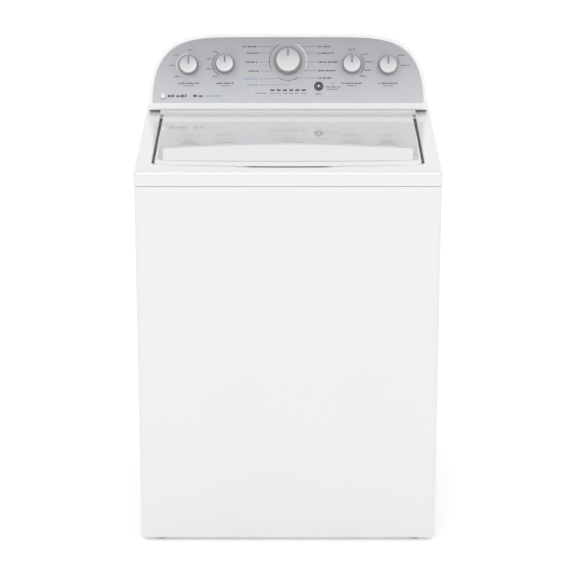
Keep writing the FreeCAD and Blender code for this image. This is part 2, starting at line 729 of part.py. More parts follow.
def cord_gland():
    """Bushing for a supply cord in the rear panel."""
    face = WRAP_REAR + SHEET
    body = bar(9.0, (GLAND_X, WRAP_REAR - 7, GLAND_Z), (GLAND_X, face, GLAND_Z))
    flange = bar(13.0, (GLAND_X, face, GLAND_Z), (GLAND_X, face + 5, GLAND_Z))
    bore = bar(GLAND_BORE_R, (GLAND_X, WRAP_REAR - 20, GLAND_Z), (GLAND_X, face + 20, GLAND_Z))
    return body.fuse(flange).cut(bore)


# Feet

def front_foot(side):
    """Threaded foot with a rubber pad."""
    r = FOOT_PAD_R
    profile = [(0, 0), (r - 2, 0), (r, 2), (r, 5), (10, 7.5), (FOOT_STEM_R, 7.5), (FOOT_STEM_R, 54), (0, 54)]
    return turned(profile, side * FOOT_X, FOOT_Y)


def rear_leveling_leg():
    """Rocking bar with a pad at each end, free on a central pivot."""
    beam = block((-FOOT_X - 14, FOOT_X + 14), (LEG_Y - 7, LEG_Y + 7), (16, 32))
    beam = beam.cut(block((-FOOT_X - 15, FOOT_X + 15), (LEG_Y - 5, LEG_Y + 5), (15, 30)))
    hub = bar(11, (0, LEG_Y - 7, LEG_PIVOT_Z), (0, LEG_Y + 7, LEG_PIVOT_Z))
    pads = [drum(14, 0, 10, side * FOOT_X, LEG_Y) for side in SIDES]
    pads += [drum(8, 8, 31, side * FOOT_X, LEG_Y) for side in SIDES]
    bore = bar(FOOT_BORE_R, (0, LEG_Y - 20, LEG_PIVOT_Z), (0, LEG_Y + 20, LEG_PIVOT_Z))
    return beam.fuse([hub] + pads).cut(bore)


# Wash unit

def outer_tub():
    """Water tub with a bearing hub, a sump hole and four suspension ears."""
    inner = TUB_R - TUB_WALL
    floor_z = TUB_BOTTOM + TUB_WALL
    profile = [
        (21, TUB_BOTTOM), (TUB_R, TUB_BOTTOM), (TUB_R, TUB_RIM), (inner, TUB_RIM), (inner, floor_z),
        (45, floor_z), (42, 222), (BEARING_R, 222), (BEARING_R, floor_z), (21, floor_z),
    ]
    tub = turned(profile, 0, TUB_Y)
    reach = math.hypot(ROD_X, ROD_REACH)
    for x, y in rod_places():
        heading = math.degrees(math.atan2(y - TUB_Y, x))
        ear = block((inner + 1, reach), (-24, 24), (EAR_Z, EAR_Z + EAR_T))
        ear = ear.fuse(drum(24, EAR_Z, EAR_Z + EAR_T, reach, 0))
        web = block((inner + 1, reach - 30), (-4, 4), (EAR_Z + EAR_T, EAR_Z + EAR_T + 60))
        ear = ear.fuse(web).cut(drum(5.0, EAR_Z - 5, EAR_Z + 30, reach, 0))
        ear.Placement = Placement(Vector(0, TUB_Y, 0), Rotation(Vector(0, 0, 1), heading))
        tub = tub.fuse(ear)
    return tub.cut(drum(14, TUB_BOTTOM - 5, floor_z + 5, PUMP_X, PUMP_Y))


def tub_ring():
    """Snap-on ring that closes the gap over the tub's rim."""
    outer = TUB_R + 3.5
    profile = [
        (TUB_R, TUB_RIM - 22), (outer, TUB_RIM - 22), (outer, TUB_RIM + 4), (RING_BORE, TUB_RIM + 4),
        (RING_BORE, TUB_RIM - 12), (RING_BORE + 3, TUB_RIM - 12), (RING_BORE + 3, TUB_RIM), (TUB_R, TUB_RIM),
    ]
    return turned(profile, 0, TUB_Y)


def tub_bearings():
    bore = SPIN_TUBE_R + RUNNING_GAP
    return [tube(BEARING_R, bore, z, z + 16, 0, TUB_Y) for z in (168.0, 194.0)]


def tub_seal():
    bore = SPIN_TUBE_R + RUNNING_GAP
    profile = [(bore, 212), (BEARING_R, 212), (BEARING_R, 221), (bore + 4, 221), (bore, 219)]
    return turned(profile, 0, TUB_Y)


def bearing_housing():
    """Platform under the tub that holds the lower bearing."""
    profile = [
        (11.5, 118), (68, 118), (75, 126), (75, TUB_BOTTOM), (21, TUB_BOTTOM), (21, 184), (BEARING_R, 184),
        (BEARING_R, 166), (35, 166), (35, 184), (71, 184), (71, 128), (66, 122), (11.5, 122),
    ]
    return turned(profile, 0, TUB_Y)


def mode_shifter():
    """Solenoid that lifts the clutch."""
    body = block((44, 92), (TUB_Y - 18, TUB_Y + 18), (95, 118))
    return body.makeFillet(3, upright_edges(body))


def clutch_sleeve():
    """Splined sleeve with its lifting tab."""
    ring = tube(24, SHAFT_R + 0.4, 96, 110, 0, TUB_Y)
    tab = block((22, 43), (TUB_Y - 5, TUB_Y + 5), (100, 104))
    return ring.fuse(tab)


def motor_body():
    """Belt drive motor with its mounting plate."""
    can = drum(MOTOR_R, 100, 184, MOTOR_X, TUB_Y)
    can = can.makeFillet(8, edges_at(can, 100))
    plate = rounded_block((MOTOR_X - 74, MOTOR_X + 74), (TUB_Y - 46, TUB_Y + 46), (184, TUB_BOTTOM), 12)
    bore = drum(6.0, 90, 140, MOTOR_X, TUB_Y)
    slots = []
    for index in range(12):
        slot = block((MOTOR_R - 3, MOTOR_R + 3), (-5, 5), (122, 168))
        slot.Placement = Placement(Vector(MOTOR_X, TUB_Y, 0), Rotation(Vector(0, 0, 1), 30 * index + 15))
        slots.append(slot)
    return can.fuse(plate).cut(bore).cut(Part.makeCompound(slots))


def motor_pulley():
    """Motor shaft with its small pulley."""
    r = MOTOR_PULLEY_R
    profile = [
        (0, 68), (r + 4, 68), (r + 4, 71), (r, 72), (r, 90), (r + 4, 91), (r + 4, 93), (5.95, 93),
        (5.95, 136), (0, 136),
    ]
    return turned(profile, MOTOR_X, TUB_Y)


def drive_pulley():
    """Large pulley with a rim, a web with lightening holes, and a hub."""
    r = PULLEY_R
    profile = [
        (SHAFT_R, 70), (26, 70), (26, 78), (r - 8, 78), (r - 8, 70), (r + 3, 70), (r + 3, 71.5), (r, 72),
        (r, 90), (r + 3, 90.5), (r + 3, 92), (r - 8, 92), (r - 8, 84), (26, 84), (26, 92), (SHAFT_R, 92),
    ]
    wheel = turned(profile, 0, TUB_Y)
    holes = []
    for index in range(6):
        angle = math.radians(60 * index)
        holes.append(drum(17, 60, 100, 62 * math.cos(angle), TUB_Y + 62 * math.sin(angle)))
    return wheel.cut(Part.makeCompound(holes))


def belt_loop(grow):
    """Solid inside a belt's path round both pulleys."""
    big, small = PULLEY_R + grow, MOTOR_PULLEY_R + grow
    angle = math.acos((big - small) / abs(MOTOR_X))
    sideways = math.sin(angle)
    along = -math.cos(angle)

    def on(x, radius, side):
        return Vector(x + radius * along, TUB_Y + side * radius * sideways, BELT_Z0)

    far = Vector(MOTOR_X - small, TUB_Y, BELT_Z0)
    edges = [
        Part.Arc(on(0, big, 1), Vector(big, TUB_Y, BELT_Z0), on(0, big, -1)).toShape(),
        Part.makeLine(on(0, big, -1), on(MOTOR_X, small, -1)),
        Part.Arc(on(MOTOR_X, small, -1), far, on(MOTOR_X, small, 1)).toShape(),
        Part.makeLine(on(MOTOR_X, small, 1), on(0, big, 1)),
    ]
    return Part.Face(Part.Wire(edges)).extrude(Vector(0, 0, BELT_Z1 - BELT_Z0))


def drive_belt():
    return belt_loop(BELT_GAP + BELT_T).cut(belt_loop(BELT_GAP))


def pump_body():
    """Drain pump: a volute under the sump hole, over its own motor."""
    volute = drum(42, 140, 182, PUMP_X, PUMP_Y)
    motor = drum(30, 96, 140, PUMP_X, PUMP_Y)
    neck = drum(18, 182, TUB_BOTTOM, PUMP_X, PUMP_Y)
    x, y, z = DRAIN_ROUTE[0]
    outlet = bar(11.0, (x, PUMP_Y + 20, z), (x, y + 22, z))
    solid = volute.fuse([motor, neck, outlet])
    chamber = drum(37, 144, 176, PUMP_X, PUMP_Y)
    inlet = drum(14, 170, TUB_BOTTOM + 1, PUMP_X, PUMP_Y)
    shaft_bore = drum(STEM_BORE_R, 118, 150, PUMP_X, PUMP_Y)
    outlet_bore = bar(8.0, (x, PUMP_Y + 20, z), (x, y + 23, z))
    return solid.cut(Part.makeCompound([chamber, inlet, shaft_bore, outlet_bore]))


def pump_impeller():
    hub = drum(9, 148, 166, PUMP_X, PUMP_Y)
    disc = drum(31, 148, 150.5, PUMP_X, PUMP_Y)
    stem = drum(STEM_R, 122, 150, PUMP_X, PUMP_Y)
    vanes = []
    for index in range(6):
        vane = block((5, 30), (-1.2, 1.2), (150, 164))
        vane.Placement = Placement(Vector(PUMP_X, PUMP_Y, 0), Rotation(Vector(0, 0, 1), 60 * index))
        vanes.append(vane)
    return hub.fuse([disc, stem] + vanes)


def spin_tube():
    return tube(SPIN_TUBE_R, SHAFT_R + RUNNING_GAP, 160, 240, 0, TUB_Y)


def basket_base():
    inner = BASKET_R - BASKET_WALL
    profile = [
        (SPIN_TUBE_R, 226), (60, 226), (244, 216), (inner, 230), (inner, 262), (inner - 2.5, 262),
        (inner - 2.5, 233), (243, 220), (62, 231), (42, 240), (SPIN_TUBE_R, 240),
    ]
    return turned(profile, 0, TUB_Y)


def basket_wall():
    return tube(BASKET_R, BASKET_R - BASKET_WALL, 232, BASKET_TOP, 0, TUB_Y)


def balance_ring():
    """Liquid-filled ring on the basket's top edge."""
    inner, outer, low, high = 230.0, 268.0, BASKET_TOP, BALANCE_TOP
    profile = [
        (inner + 6, low), (outer, low), (outer, high - 8), (outer - 8, high),
        (inner + 8, high), (inner, high - 8), (inner, low + 10),
    ]
    return turned(profile, 0, TUB_Y)


def agitator():
    """Bell-shaped agitator with four vanes on its skirt and fins up its barrel."""
    outer = [(180, 246), (180, 252), (150, 262), (105, 282), (74, 318), (62, 372), (50, 640)]
    inner = [(47, 640), (59, 372), (71, 318), (102, 279.5), (149, 259), (176, 250), (176, 246)]
    shell = turned(outer + inner, 0, TUB_Y)
    web = [(18, 366), (60, 366), (60, 371), (18, 371)]
    hub = turned([(SHAFT_R, 330), (18, 330)] + web + [(18, 410), (SHAFT_R, 410)], 0, TUB_Y)
    vanes = []
    for index in range(4):
        side_view = [(56, 300), (168, 250), (174, 275), (120, 318), (84, 380), (56, 470)]
        corners = [Vector(x, -3.5, z) for x, z in side_view]
        vane = Part.Face(Part.makePolygon(corners + corners[:1])).extrude(Vector(0, 7, 0))
        vane.Placement = Placement(Vector(0, TUB_Y, 0), Rotation(Vector(0, 0, 1), 90 * index + 45))
        vanes.append(vane)
    core = turned([(0, 200)] + inner[::-1] + [(0, 640)], 0, TUB_Y)
    blades = vanes[0].fuse(vanes[1:]).cut(core)
    return shell.fuse([hub, blades])


def softener_cup():
    """Dispenser cup that closes the agitator's top."""
    profile = [
        (0, 640), (47, 640), (50, 640.5), (52, 648), (52, 676), (46, 690), (42, 690), (47, 675), (47, 650),
        (0, 646),
    ]
    return turned(profile, 0, TUB_Y)


def agitator_shaft():
    return drum(SHAFT_R, 64, 410, 0, TUB_Y)


# Build every sub-part

save("cabinet_wrap", cabinet_wrap())
save("rear_panel", rear_panel())
save("panel_screws", *panel_screws())
save("base_frame", *base_frame())
save("foot_locknuts", *foot_locknuts())
save("top_gussets", *top_gussets())
save("suspension_rods", *suspension_rods())
save("rod_end_cups", *rod_end_cups())
save("suspension_springs", *suspension_springs())
save("top_panel", top_panel())
save("lid_lock_housing", lid_lock_housing())
save("lid_hinge_bushes", *lid_hinge_bushes())
save("console_shell", console_shell())
save("console_back_cover", console_back_cover())
save("control_overlay", control_overlay())
save("control_board", control_board())
save("selector_encoders", *selector_encoders())
save("indicator_lenses", *indicator_lenses())
save("inlet_valve", inlet_valve())
save("fill_nozzle", fill_nozzle())
save("fill_hose", hose("fill hose", FILL_ROUTE, FILL_HOSE_R, FILL_BORE_R))
save("drain_port", drain_port())
save("drain_hose", hose("drain hose", DRAIN_ROUTE, DRAIN_HOSE_R, DRAIN_BORE_R))
save("wire_harness", hose("wire harness", HARNESS_ROUTE, HARNESS_R))
save("cord_gland", cord_gland())
save("lid_lock_bolt", lid_lock_bolt())
save("lid_skin", lid_skin())
save("lid_liner", lid_liner())
save("lid_hinge_pins", *lid_hinge_pins())
save("lid_bumpers", *lid_bumpers())
save("lid_strike", lid_strike())
for knob_name, *knob_size in KNOBS:
    save(knob_name, knob(*knob_size))
save("start_button", start_button())
save("foot_front_left", front_foot(-1))
save("foot_front_right", front_foot(1))
save("rear_leveling_leg", rear_leveling_leg())
save("outer_tub", outer_tub())
save("tub_ring", tub_ring())
save("tub_bearings", *tub_bearings())
save("tub_seal", tub_seal())
save("bearing_housing", bearing_housing())
save("mode_shifter", mode_shifter())
save("clutch_sleeve", clutch_sleeve())
save("motor_body", motor_body())
save("motor_pulley", motor_pulley())
save("drive_belt", drive_belt())
save("pump_body", pump_body())
save("pump_impeller", pump_impeller())
save("basket_wall", basket_wall())
save("basket_base", basket_base())
save("balance_ring", balance_ring())
save("spin_tube", spin_tube())
save("agitator", agitator())
save("softener_cup", softener_cup())
save("agitator_shaft", agitator_shaft())
save("drive_pulley", drive_pulley())
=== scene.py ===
import json
import math

import bmesh
import bpy
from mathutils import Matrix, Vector, noise


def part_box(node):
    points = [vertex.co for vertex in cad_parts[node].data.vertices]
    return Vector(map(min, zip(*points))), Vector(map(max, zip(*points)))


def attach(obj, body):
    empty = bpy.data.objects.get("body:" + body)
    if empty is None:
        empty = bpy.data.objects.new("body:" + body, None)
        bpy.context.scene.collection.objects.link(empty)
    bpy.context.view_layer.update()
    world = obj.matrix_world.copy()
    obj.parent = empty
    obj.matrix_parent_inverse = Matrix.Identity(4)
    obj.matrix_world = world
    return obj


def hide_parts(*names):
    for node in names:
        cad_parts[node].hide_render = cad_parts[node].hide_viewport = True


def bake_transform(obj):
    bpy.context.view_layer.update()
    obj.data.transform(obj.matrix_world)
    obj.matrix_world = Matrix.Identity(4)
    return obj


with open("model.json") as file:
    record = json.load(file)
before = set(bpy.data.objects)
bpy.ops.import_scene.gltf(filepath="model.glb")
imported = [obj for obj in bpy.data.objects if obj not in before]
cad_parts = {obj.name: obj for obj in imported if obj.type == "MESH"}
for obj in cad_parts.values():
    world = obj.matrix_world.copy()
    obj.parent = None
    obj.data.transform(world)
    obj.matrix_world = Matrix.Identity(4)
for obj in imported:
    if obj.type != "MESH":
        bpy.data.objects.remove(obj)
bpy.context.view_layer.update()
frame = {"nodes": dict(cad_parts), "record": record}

MM = 0.001
SIDES = (-1, 1)

# Main places, in millimetres

EYE_Y, EYE_Z = -5651.0, 2469.6              # camera
TOP_Z = 914.0                               # worktop
HINGE_Y, HINGE_Z = 148.0, 904.0             # axis of the lid's pins
LID_TOP = 913.5
LID_HALF, LID_FRONT = 304.5, -286.5         # half the lid's width, and its front edge at the corners
BOW = 8.0                                   # how far the lid and its recess bow forward in the middle
DRUM_Y = -20.0                              # upright axis of the tub, the basket and the agitator
CONSOLE_TOP_Y, CONSOLE_TOP_Z = 228.0, 1099.0


# Camera at the photograph's viewing angle

camera_data = bpy.data.cameras.new("camera")
camera_data.lens = 153.4
camera_data.sensor_width = 36.0
camera_data.clip_end = 100.0
camera = bpy.data.objects.new("camera", camera_data)
camera.location = (0.0, EYE_Y * MM, EYE_Z * MM)
camera.rotation_euler = (math.radians(70.94), 0.0, 0.0)
bpy.context.scene.collection.objects.link(camera)
bpy.context.scene.camera = camera


# Materials

materials = {}


class Nodes:
    """Builds one procedural material on top of a Principled shader. Lengths are in metres here."""

    def __init__(self, name):
        materials[name] = bpy.data.materials.new(name)
        materials[name].use_nodes = True
        self.tree = materials[name].node_tree
        self.shader = self.tree.nodes["Principled BSDF"]
        self.place = self.tree.nodes.new("ShaderNodeTexCoord").outputs["Object"]

    def add(self, kind, **inputs):
        node = self.tree.nodes.new(kind)
        for key, value in inputs.items():
            node.inputs[key.replace("_", " ")].default_value = value
        return node

    def link(self, start, end):
        self.tree.links.new(start, end)

    def stretched(self, scale):
        node = self.add("ShaderNodeMapping", Scale=scale)
        self.link(self.place, node.inputs["Vector"])
        return node.outputs["Vector"]

    def noise(self, scale, detail=3.0, stretch=None):
        node = self.add("ShaderNodeTexNoise", Scale=scale, Detail=detail)
        self.link(self.stretched(stretch) if stretch else self.place, node.inputs["Vector"])
        return node.outputs["Fac"]

    def ramp(self, factor, stops):
        node = self.add("ShaderNodeValToRGB")
        ramp = node.color_ramp
        while len(ramp.elements) < len(stops):
            ramp.elements.new(0.5)
        for element, (place, colour) in zip(ramp.elements, stops):
            element.position = place
            element.color = (*colour, 1.0)
        self.link(factor, node.inputs["Fac"])
        return node.outputs["Color"]

    def spread(self, factor, low, high, source=(0.3, 0.7)):
        node = self.add("ShaderNodeMapRange", From_Min=source[0], From_Max=source[1], To_Min=low, To_Max=high)
        self.link(factor, node.inputs["Value"])
        return node.outputs["Result"]

    def set(self, **values):
        for key, value in values.items():
            self.shader.inputs[key.replace("_", " ")].default_value = value

    def bump(self, height, strength, distance):
        node = self.add("ShaderNodeBump", Strength=strength, Distance=distance)
        self.link(height, node.inputs["Height"])
        old = self.shader.inputs["Normal"]
        if old.is_linked:
            self.link(old.links[0].from_socket, node.inputs["Normal"])
        self.link(node.outputs["Normal"], old)


def finish(name, colour, vary=0.04, rough=(0.3, 0.4), metallic=0.0, coat=0.0, coat_rough=0.05, ior=1.5,
           patch=9.0, grain=900.0, grain_height=0.00004, grain_strength=0.3, stretch=None):
    """A painted, plated or moulded finish: a slow change of colour, a roughness map and a fine grain."""
    n = Nodes(name)
    slow = n.noise(patch, 4.0)
    other = tuple(c * (1 - 2 * vary) for c in colour)
    n.link(n.ramp(slow, [(0.3, other), (0.7, colour)]), n.shader.inputs["Base Color"])
    fine = n.noise(grain, 2.0, stretch)
    n.link(n.spread(n.noise(patch * 7, 5.0, stretch), *rough), n.shader.inputs["Roughness"])
    n.bump(fine, grain_strength, grain_height)
    n.set(Metallic=metallic, Coat_Weight=coat, Coat_Roughness=coat_rough, IOR=ior)
    return n


def enamel(name, colour, vary, patch, coat_ior):
    n = finish(name, colour, vary=vary, rough=(0.1, 0.14), coat=1.0, coat_rough=0.03, ior=1.6, patch=patch,
               grain=420.0, grain_height=0.000004, grain_strength=0.05)
    n.set(Coat_IOR=coat_ior)


def overlay_silver():
    """Printed film with a fine brushed line, its colour darkened towards its top as painted shade."""
    n = Nodes("overlay_silver")
    split = n.add("ShaderNodeSeparateXYZ")
    n.link(n.place, split.inputs["Vector"])
    low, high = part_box("control_overlay")
    up = n.spread(split.outputs["Z"], 0.0, 1.0, (low.z, high.z))
    # painted shade: the film darkens towards its top, standing in for the reflection of the room above it
    painted_shade = n.ramp(up, [(0.0, (0.6, 0.61, 0.635)), (0.45, (0.5, 0.505, 0.53)), (1.0, (0.37, 0.375, 0.4))])
    mix = n.add("ShaderNodeMix")
    mix.data_type = "RGBA"
    mix.blend_type = "MULTIPLY"
    mix.inputs["Factor"].default_value = 1.0
    line = n.ramp(n.noise(500.0, 2.0, (0.02, 1.0, 1.0)), [(0.3, (0.97, 0.97, 0.97)), (0.7, (1.0, 1.0, 1.0))])
    n.link(painted_shade, mix.inputs["A"])
    n.link(line, mix.inputs["B"])
    n.link(mix.outputs["Result"], n.shader.inputs["Base Color"])
    n.link(n.spread(n.noise(60.0), 0.42, 0.5), n.shader.inputs["Roughness"])
    n.set(Metallic=0.15)
    n.bump(n.noise(1400.0, 1.0), 0.2, 0.00002)


def zinc_steel():
    """Galvanised sheet with its spangle."""
    n = finish("zinc_steel", (0.62, 0.63, 0.64), rough=(0.3, 0.44), metallic=1.0, patch=30.0, grain=700.0)
    spangle = n.add("ShaderNodeTexVoronoi", Scale=85.0)
    spangle.distance = "CHEBYCHEV"
    n.link(n.place, spangle.inputs["Vector"])
    n.link(n.ramp(spangle.outputs["Color"], [(0.15, (0.53, 0.54, 0.55)), (0.85, (0.66, 0.67, 0.68))]),
           n.shader.inputs["Base Color"])
    n.bump(spangle.outputs["Distance"], 0.12, 0.00004)


def brushed(name, colour):
    """Drawn steel, with its fine lines level."""
    finish(name, colour, rough=(0.3, 0.4), metallic=0.85, patch=14.0, stretch=(1.0, 1.0, 0.03),
           grain_height=0.00001, grain_strength=0.15)


def board_green():
    """Circuit board, with its tracks as a bump."""
    n = finish("board_green", (0.03, 0.17, 0.07), rough=(0.25, 0.4), patch=60.0, grain=600.0)
    track = n.add("ShaderNodeTexBrick", Scale=60.0)
    n.link(n.place, track.inputs["Vector"])
    n.bump(track.outputs["Fac"], 0.4, 0.0001)


def rubber(name, colour):
    n = finish(name, colour, vary=0.12, rough=(0.55, 0.75), patch=25.0, grain=1500.0, grain_height=0.00006)
    n.bump(n.noise(120.0, 3.0), 0.15, 0.00008)


def plastic(name, colour, **more):
    options = {"vary": 0.015, "rough": (0.34, 0.44), "patch": 12.0, "grain": 1300.0, "grain_height": 0.00003}
    options.update(more)
    finish(name, colour, **options)


def knob_face(name, middle, reach):
    """Spun silver face of a knob with fine upright lines, its colour darkened towards its top as painted
    shade.
    """
    n = Nodes(name)
    split = n.add("ShaderNodeSeparateXYZ")
    n.link(n.place, split.inputs["Vector"])
    up = n.spread(split.outputs["Z"], 0.0, 1.0, (middle - reach, middle + reach))
    # painted shade: the face darkens towards its top, standing in for the studio light falling on it
    n.link(n.ramp(up, [(0.1, (0.72, 0.72, 0.725)), (0.55, (0.6, 0.6, 0.61)), (0.95, (0.42, 0.425, 0.44))]),
           n.shader.inputs["Base Color"])
    lines = n.noise(700.0, 2.0, (1.0, 0.05, 0.05))
    n.link(n.spread(lines, 0.3, 0.4), n.shader.inputs["Roughness"])
    n.bump(lines, 0.35, 0.00004)
    n.set(Metallic=0.55, Coat_Weight=0.3, Coat_Roughness=0.15)


enamel("white_enamel", (0.71, 0.71, 0.715), vary=0.006, patch=5.0, coat_ior=2.1)
# painted highlight: a lighter enamel for the worktop's rounded edge, standing in for a highlight line
enamel("enamel_painted_highlight", (0.84, 0.84, 0.845), vary=0.01, patch=9.0, coat_ior=1.5)
zinc_steel()
plastic("white_plastic", (0.86, 0.86, 0.87), rough=(0.2, 0.27), coat=0.35, grain_strength=0.15)
overlay_silver()
plastic("knob_silver", (0.66, 0.665, 0.68), metallic=0.55, rough=(0.3, 0.38), vary=0.02, coat=0.3,
        coat_rough=0.15)
plastic("button_black", (0.05, 0.052, 0.056), vary=0.1, rough=(0.12, 0.2), coat=0.6)
plastic("lens_smoke", (0.045, 0.047, 0.052), vary=0.1, rough=(0.08, 0.15), coat=0.5)
brushed("basket_steel", (0.86, 0.87, 0.88))
plastic("tub_plastic", (0.6, 0.62, 0.63), rough=(0.4, 0.55), vary=0.06)
plastic("ring_plastic", (0.5, 0.53, 0.56), rough=(0.35, 0.5), vary=0.04)
plastic("agitator_plastic", (0.87, 0.88, 0.89), rough=(0.28, 0.38), vary=0.03)
plastic("cup_plastic", (0.2, 0.34, 0.52), rough=(0.25, 0.35), vary=0.05)
rubber("black_rubber", (0.028, 0.028, 0.03))
rubber("grey_rubber", (0.2, 0.2, 0.21))
finish("cast_alloy", (0.5, 0.5, 0.51), rough=(0.42, 0.6), metallic=0.9, patch=40.0, grain=260.0,
       grain_height=0.00025, grain_strength=0.5)
finish("motor_black", (0.04, 0.04, 0.043), vary=0.1, rough=(0.35, 0.5), metallic=0.2, patch=30.0,
       grain=420.0, grain_height=0.0001)
board_green()
plastic("black_nylon", (0.035, 0.035, 0.038), vary=0.12, rough=(0.4, 0.55))
plastic("white_nylon", (0.78, 0.78, 0.75), rough=(0.3, 0.45))
plastic("valve_plastic", (0.16, 0.27, 0.42), rough=(0.35, 0.5), vary=0.05)
plastic("hose_grey", (0.34, 0.35, 0.36), rough=(0.4, 0.55), vary=0.06)
# painted shade: a darker copy of the knobs' silver for their sides, standing in for shade on sides facing away
# from the light
plastic("knob_side_painted_shade", (0.42, 0.425, 0.44), metallic=0.5, rough=(0.34, 0.44), vary=0.02)
plastic("print_dark", (0.13, 0.135, 0.15), rough=(0.45, 0.55), vary=0.05)
plastic("print_white", (0.86, 0.86, 0.87), rough=(0.45, 0.55))
plastic("print_blue", (0.29, 0.4, 0.54), rough=(0.45, 0.55), vary=0.05)
plastic("pointer_grey", (0.22, 0.225, 0.235), rough=(0.4, 0.5), vary=0.05)
# painted shade: a dark colour for the lid's finger hollow, standing in for the shade under its lip
plastic("groove_dark", (0.1, 0.1, 0.105), rough=(0.6, 0.7), vary=0.05)


# Mesh tools. Sizes are in millimetres until the mesh is made.

def piece(name, verts, faces, slots, body, replaces=(), sharp=38.0, faces_slot=None, cutters=()):
    """One object from points in millimetres. slots names its materials, faces_slot picks one per face, and
    cutters are closed shapes cut out of it."""
    mesh = bpy.data.meshes.new(name)
    mesh.from_pydata([Vector(v) * MM for v in verts], [], faces)
    for key in slots:
        mesh.materials.append(materials[key])
    if faces_slot:
        mesh.polygons.foreach_set("material_index", faces_slot)
    shape = bmesh.new()
    shape.from_mesh(mesh)
    bmesh.ops.remove_doubles(shape, verts=shape.verts, dist=0.000005)
    bmesh.ops.recalc_face_normals(shape, faces=shape.faces)
    shape.to_mesh(mesh)
    shape.free()
    mesh.polygons.foreach_set("use_smooth", [True] * len(mesh.polygons))
    mesh.set_sharp_from_angle(angle=math.radians(sharp))
    obj = bpy.data.objects.new(name, mesh)
    bpy.context.scene.collection.objects.link(obj)
    if cutters:
        boolean_cut(obj, cutters)
    if body:
        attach(obj, body)
    if replaces:
        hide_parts(*replaces)
    return obj


def loft(rings, closed=False):
    """Quads between rings that have the same number of points."""
    size = len(rings[0])
    verts = [point for ring in rings for point in ring]
    faces = []
    for a in range(len(rings) if closed else len(rings) - 1):
        b = (a + 1) % len(rings)
        for i in range(size):
            j = (i + 1) % size
            faces.append((a * size + i, a * size + j, b * size + j, b * size + i))
    return verts, faces


def capped(rings):
    """A loft whose first and last rings are filled."""
    verts, faces = loft(rings)
    size = len(rings[0])
    return verts, faces + [tuple(range(size))[::-1], tuple(range(len(verts) - size, len(verts)))]


def smoothstep(value):
    value = min(1.0, max(0.0, value))
    return value * value * (3 - 2 * value)


def circle(radius, count):
    """Points of a level circle about the origin, as (x, y)."""
    angles = [2 * math.pi * k / count for k in range(count)]
    return [(radius * math.cos(angle), radius * math.sin(angle)) for angle in angles]


def quarter(steps):
    """Cosine and sine at even steps of a quarter turn."""
    angles = [math.pi / 2 * k / steps for k in range(steps + 1)]
    return [(math.cos(angle), math.sin(angle)) for angle in angles]


# Steps along a frame_loop's corners, its front and rear, and its sides
ARC = 8
ROW = 44
COLUMN = 60
FRONT_COUNT = 2 * (ARC + 1) + ROW - 1


def frame_loop(x, front, bow, rear, front_r, rear_r):
    """A rounded rectangle as a front row, a right column, a rear row and a left column of points. x is half
    its width, and bow is how far its front curves forward."""
    def corner(radius, centre_x, centre_y, start):
        points = []
        for k in range(ARC + 1):
            angle = math.radians(start + 90.0 * k / ARC)
            points.append((centre_x + radius * math.cos(angle), centre_y + radius * math.sin(angle)))
        return points

    def row(y, radius, sign):
        reach = x - radius
        return [(sign * reach * math.sin(math.pi * (k / ROW - 0.5)), y) for k in range(1, ROW)]

    def column(sign):
        low, high = front + front_r, rear - rear_r
        points = [(sign * x, low + (high - low) * (k / COLUMN) ** 1.5) for k in range(1, COLUMN)]
        return points if sign > 0 else points[::-1]

    first = corner(front_r, -x + front_r, front + front_r, 180) + row(front, front_r, 1)
    first += corner(front_r, x - front_r, front + front_r, 270)
    last = corner(rear_r, x - rear_r, rear - rear_r, 0) + row(rear, rear_r, -1)
    last += corner(rear_r, -x + rear_r, rear - rear_r, 90)
    first = [(a, b - bow * (1 - (a / x) ** 2)) for a, b in first]
    return first + column(1) + last + column(-1)


def loop_grid(loop):
    """Fills a frame_loop with rows of points, from its front row to its rear row."""
    first = loop[:FRONT_COUNT]
    right = loop[FRONT_COUNT:FRONT_COUNT + COLUMN - 1]
    last = loop[FRONT_COUNT + COLUMN - 1:2 * FRONT_COUNT + COLUMN - 1][::-1]
    left = loop[2 * FRONT_COUNT + COLUMN - 1:][::-1]
    rows = [first]
    for k in range(1, COLUMN):
        share = (k / COLUMN) ** 1.5
        middle = []
        for a, b in zip(first[1:-1], last[1:-1]):
            middle.append((a[0] + (b[0] - a[0]) * share, a[1] + (b[1] - a[1]) * share))
        rows.append([left[k - 1]] + middle + [right[k - 1]])
    return rows + [last]


def grid_faces(rows, columns):
    faces = []
    for j in range(rows - 1):
        for i in range(columns - 1):
            a = j * columns + i
            faces.append((a, a + 1, a + columns + 1, a + columns))
    return faces


def boolean_cut(obj, cutters):
    """Cuts closed shapes out of a piece and keeps only the result."""
    for verts, faces in cutters:
        tool = piece("cutter", verts, faces, [], None)
        modifier = obj.modifiers.new("cut", "BOOLEAN")
        modifier.operation = "DIFFERENCE"
        modifier.solver = "EXACT"
        modifier.object = tool
        bpy.context.view_layer.update()
        graph = bpy.context.evaluated_depsgraph_get()
        mesh = bpy.data.meshes.new_from_object(obj.evaluated_get(graph))
        obj.modifiers.clear()
        obj.data = mesh
        bpy.data.objects.remove(tool)
    obj.data.polygons.foreach_set("use_smooth", [True] * len(obj.data.polygons))
    obj.data.set_sharp_from_angle(angle=math.radians(38.0))


def box_shape(low, high):
    verts = [(x, y, z) for x in (low[0], high[0]) for y in (low[1], high[1]) for z in (low[2], high[2])]
    return verts, [(0, 1, 3, 2), (4, 6, 7, 5), (0, 4, 5, 1), (2, 3, 7, 6), (0, 2, 6, 4), (1, 5, 7, 3)]


def bar_shape(radius, start, end, count=32):
    """A closed round bar between two points."""
    start, end = Vector(start), Vector(end)
    across = (end - start).to_track_quat("Z", "Y")
    return capped([[place + across @ Vector((x, y, 0)) for x, y in circle(radius, count)]
                   for place in (start, end)])


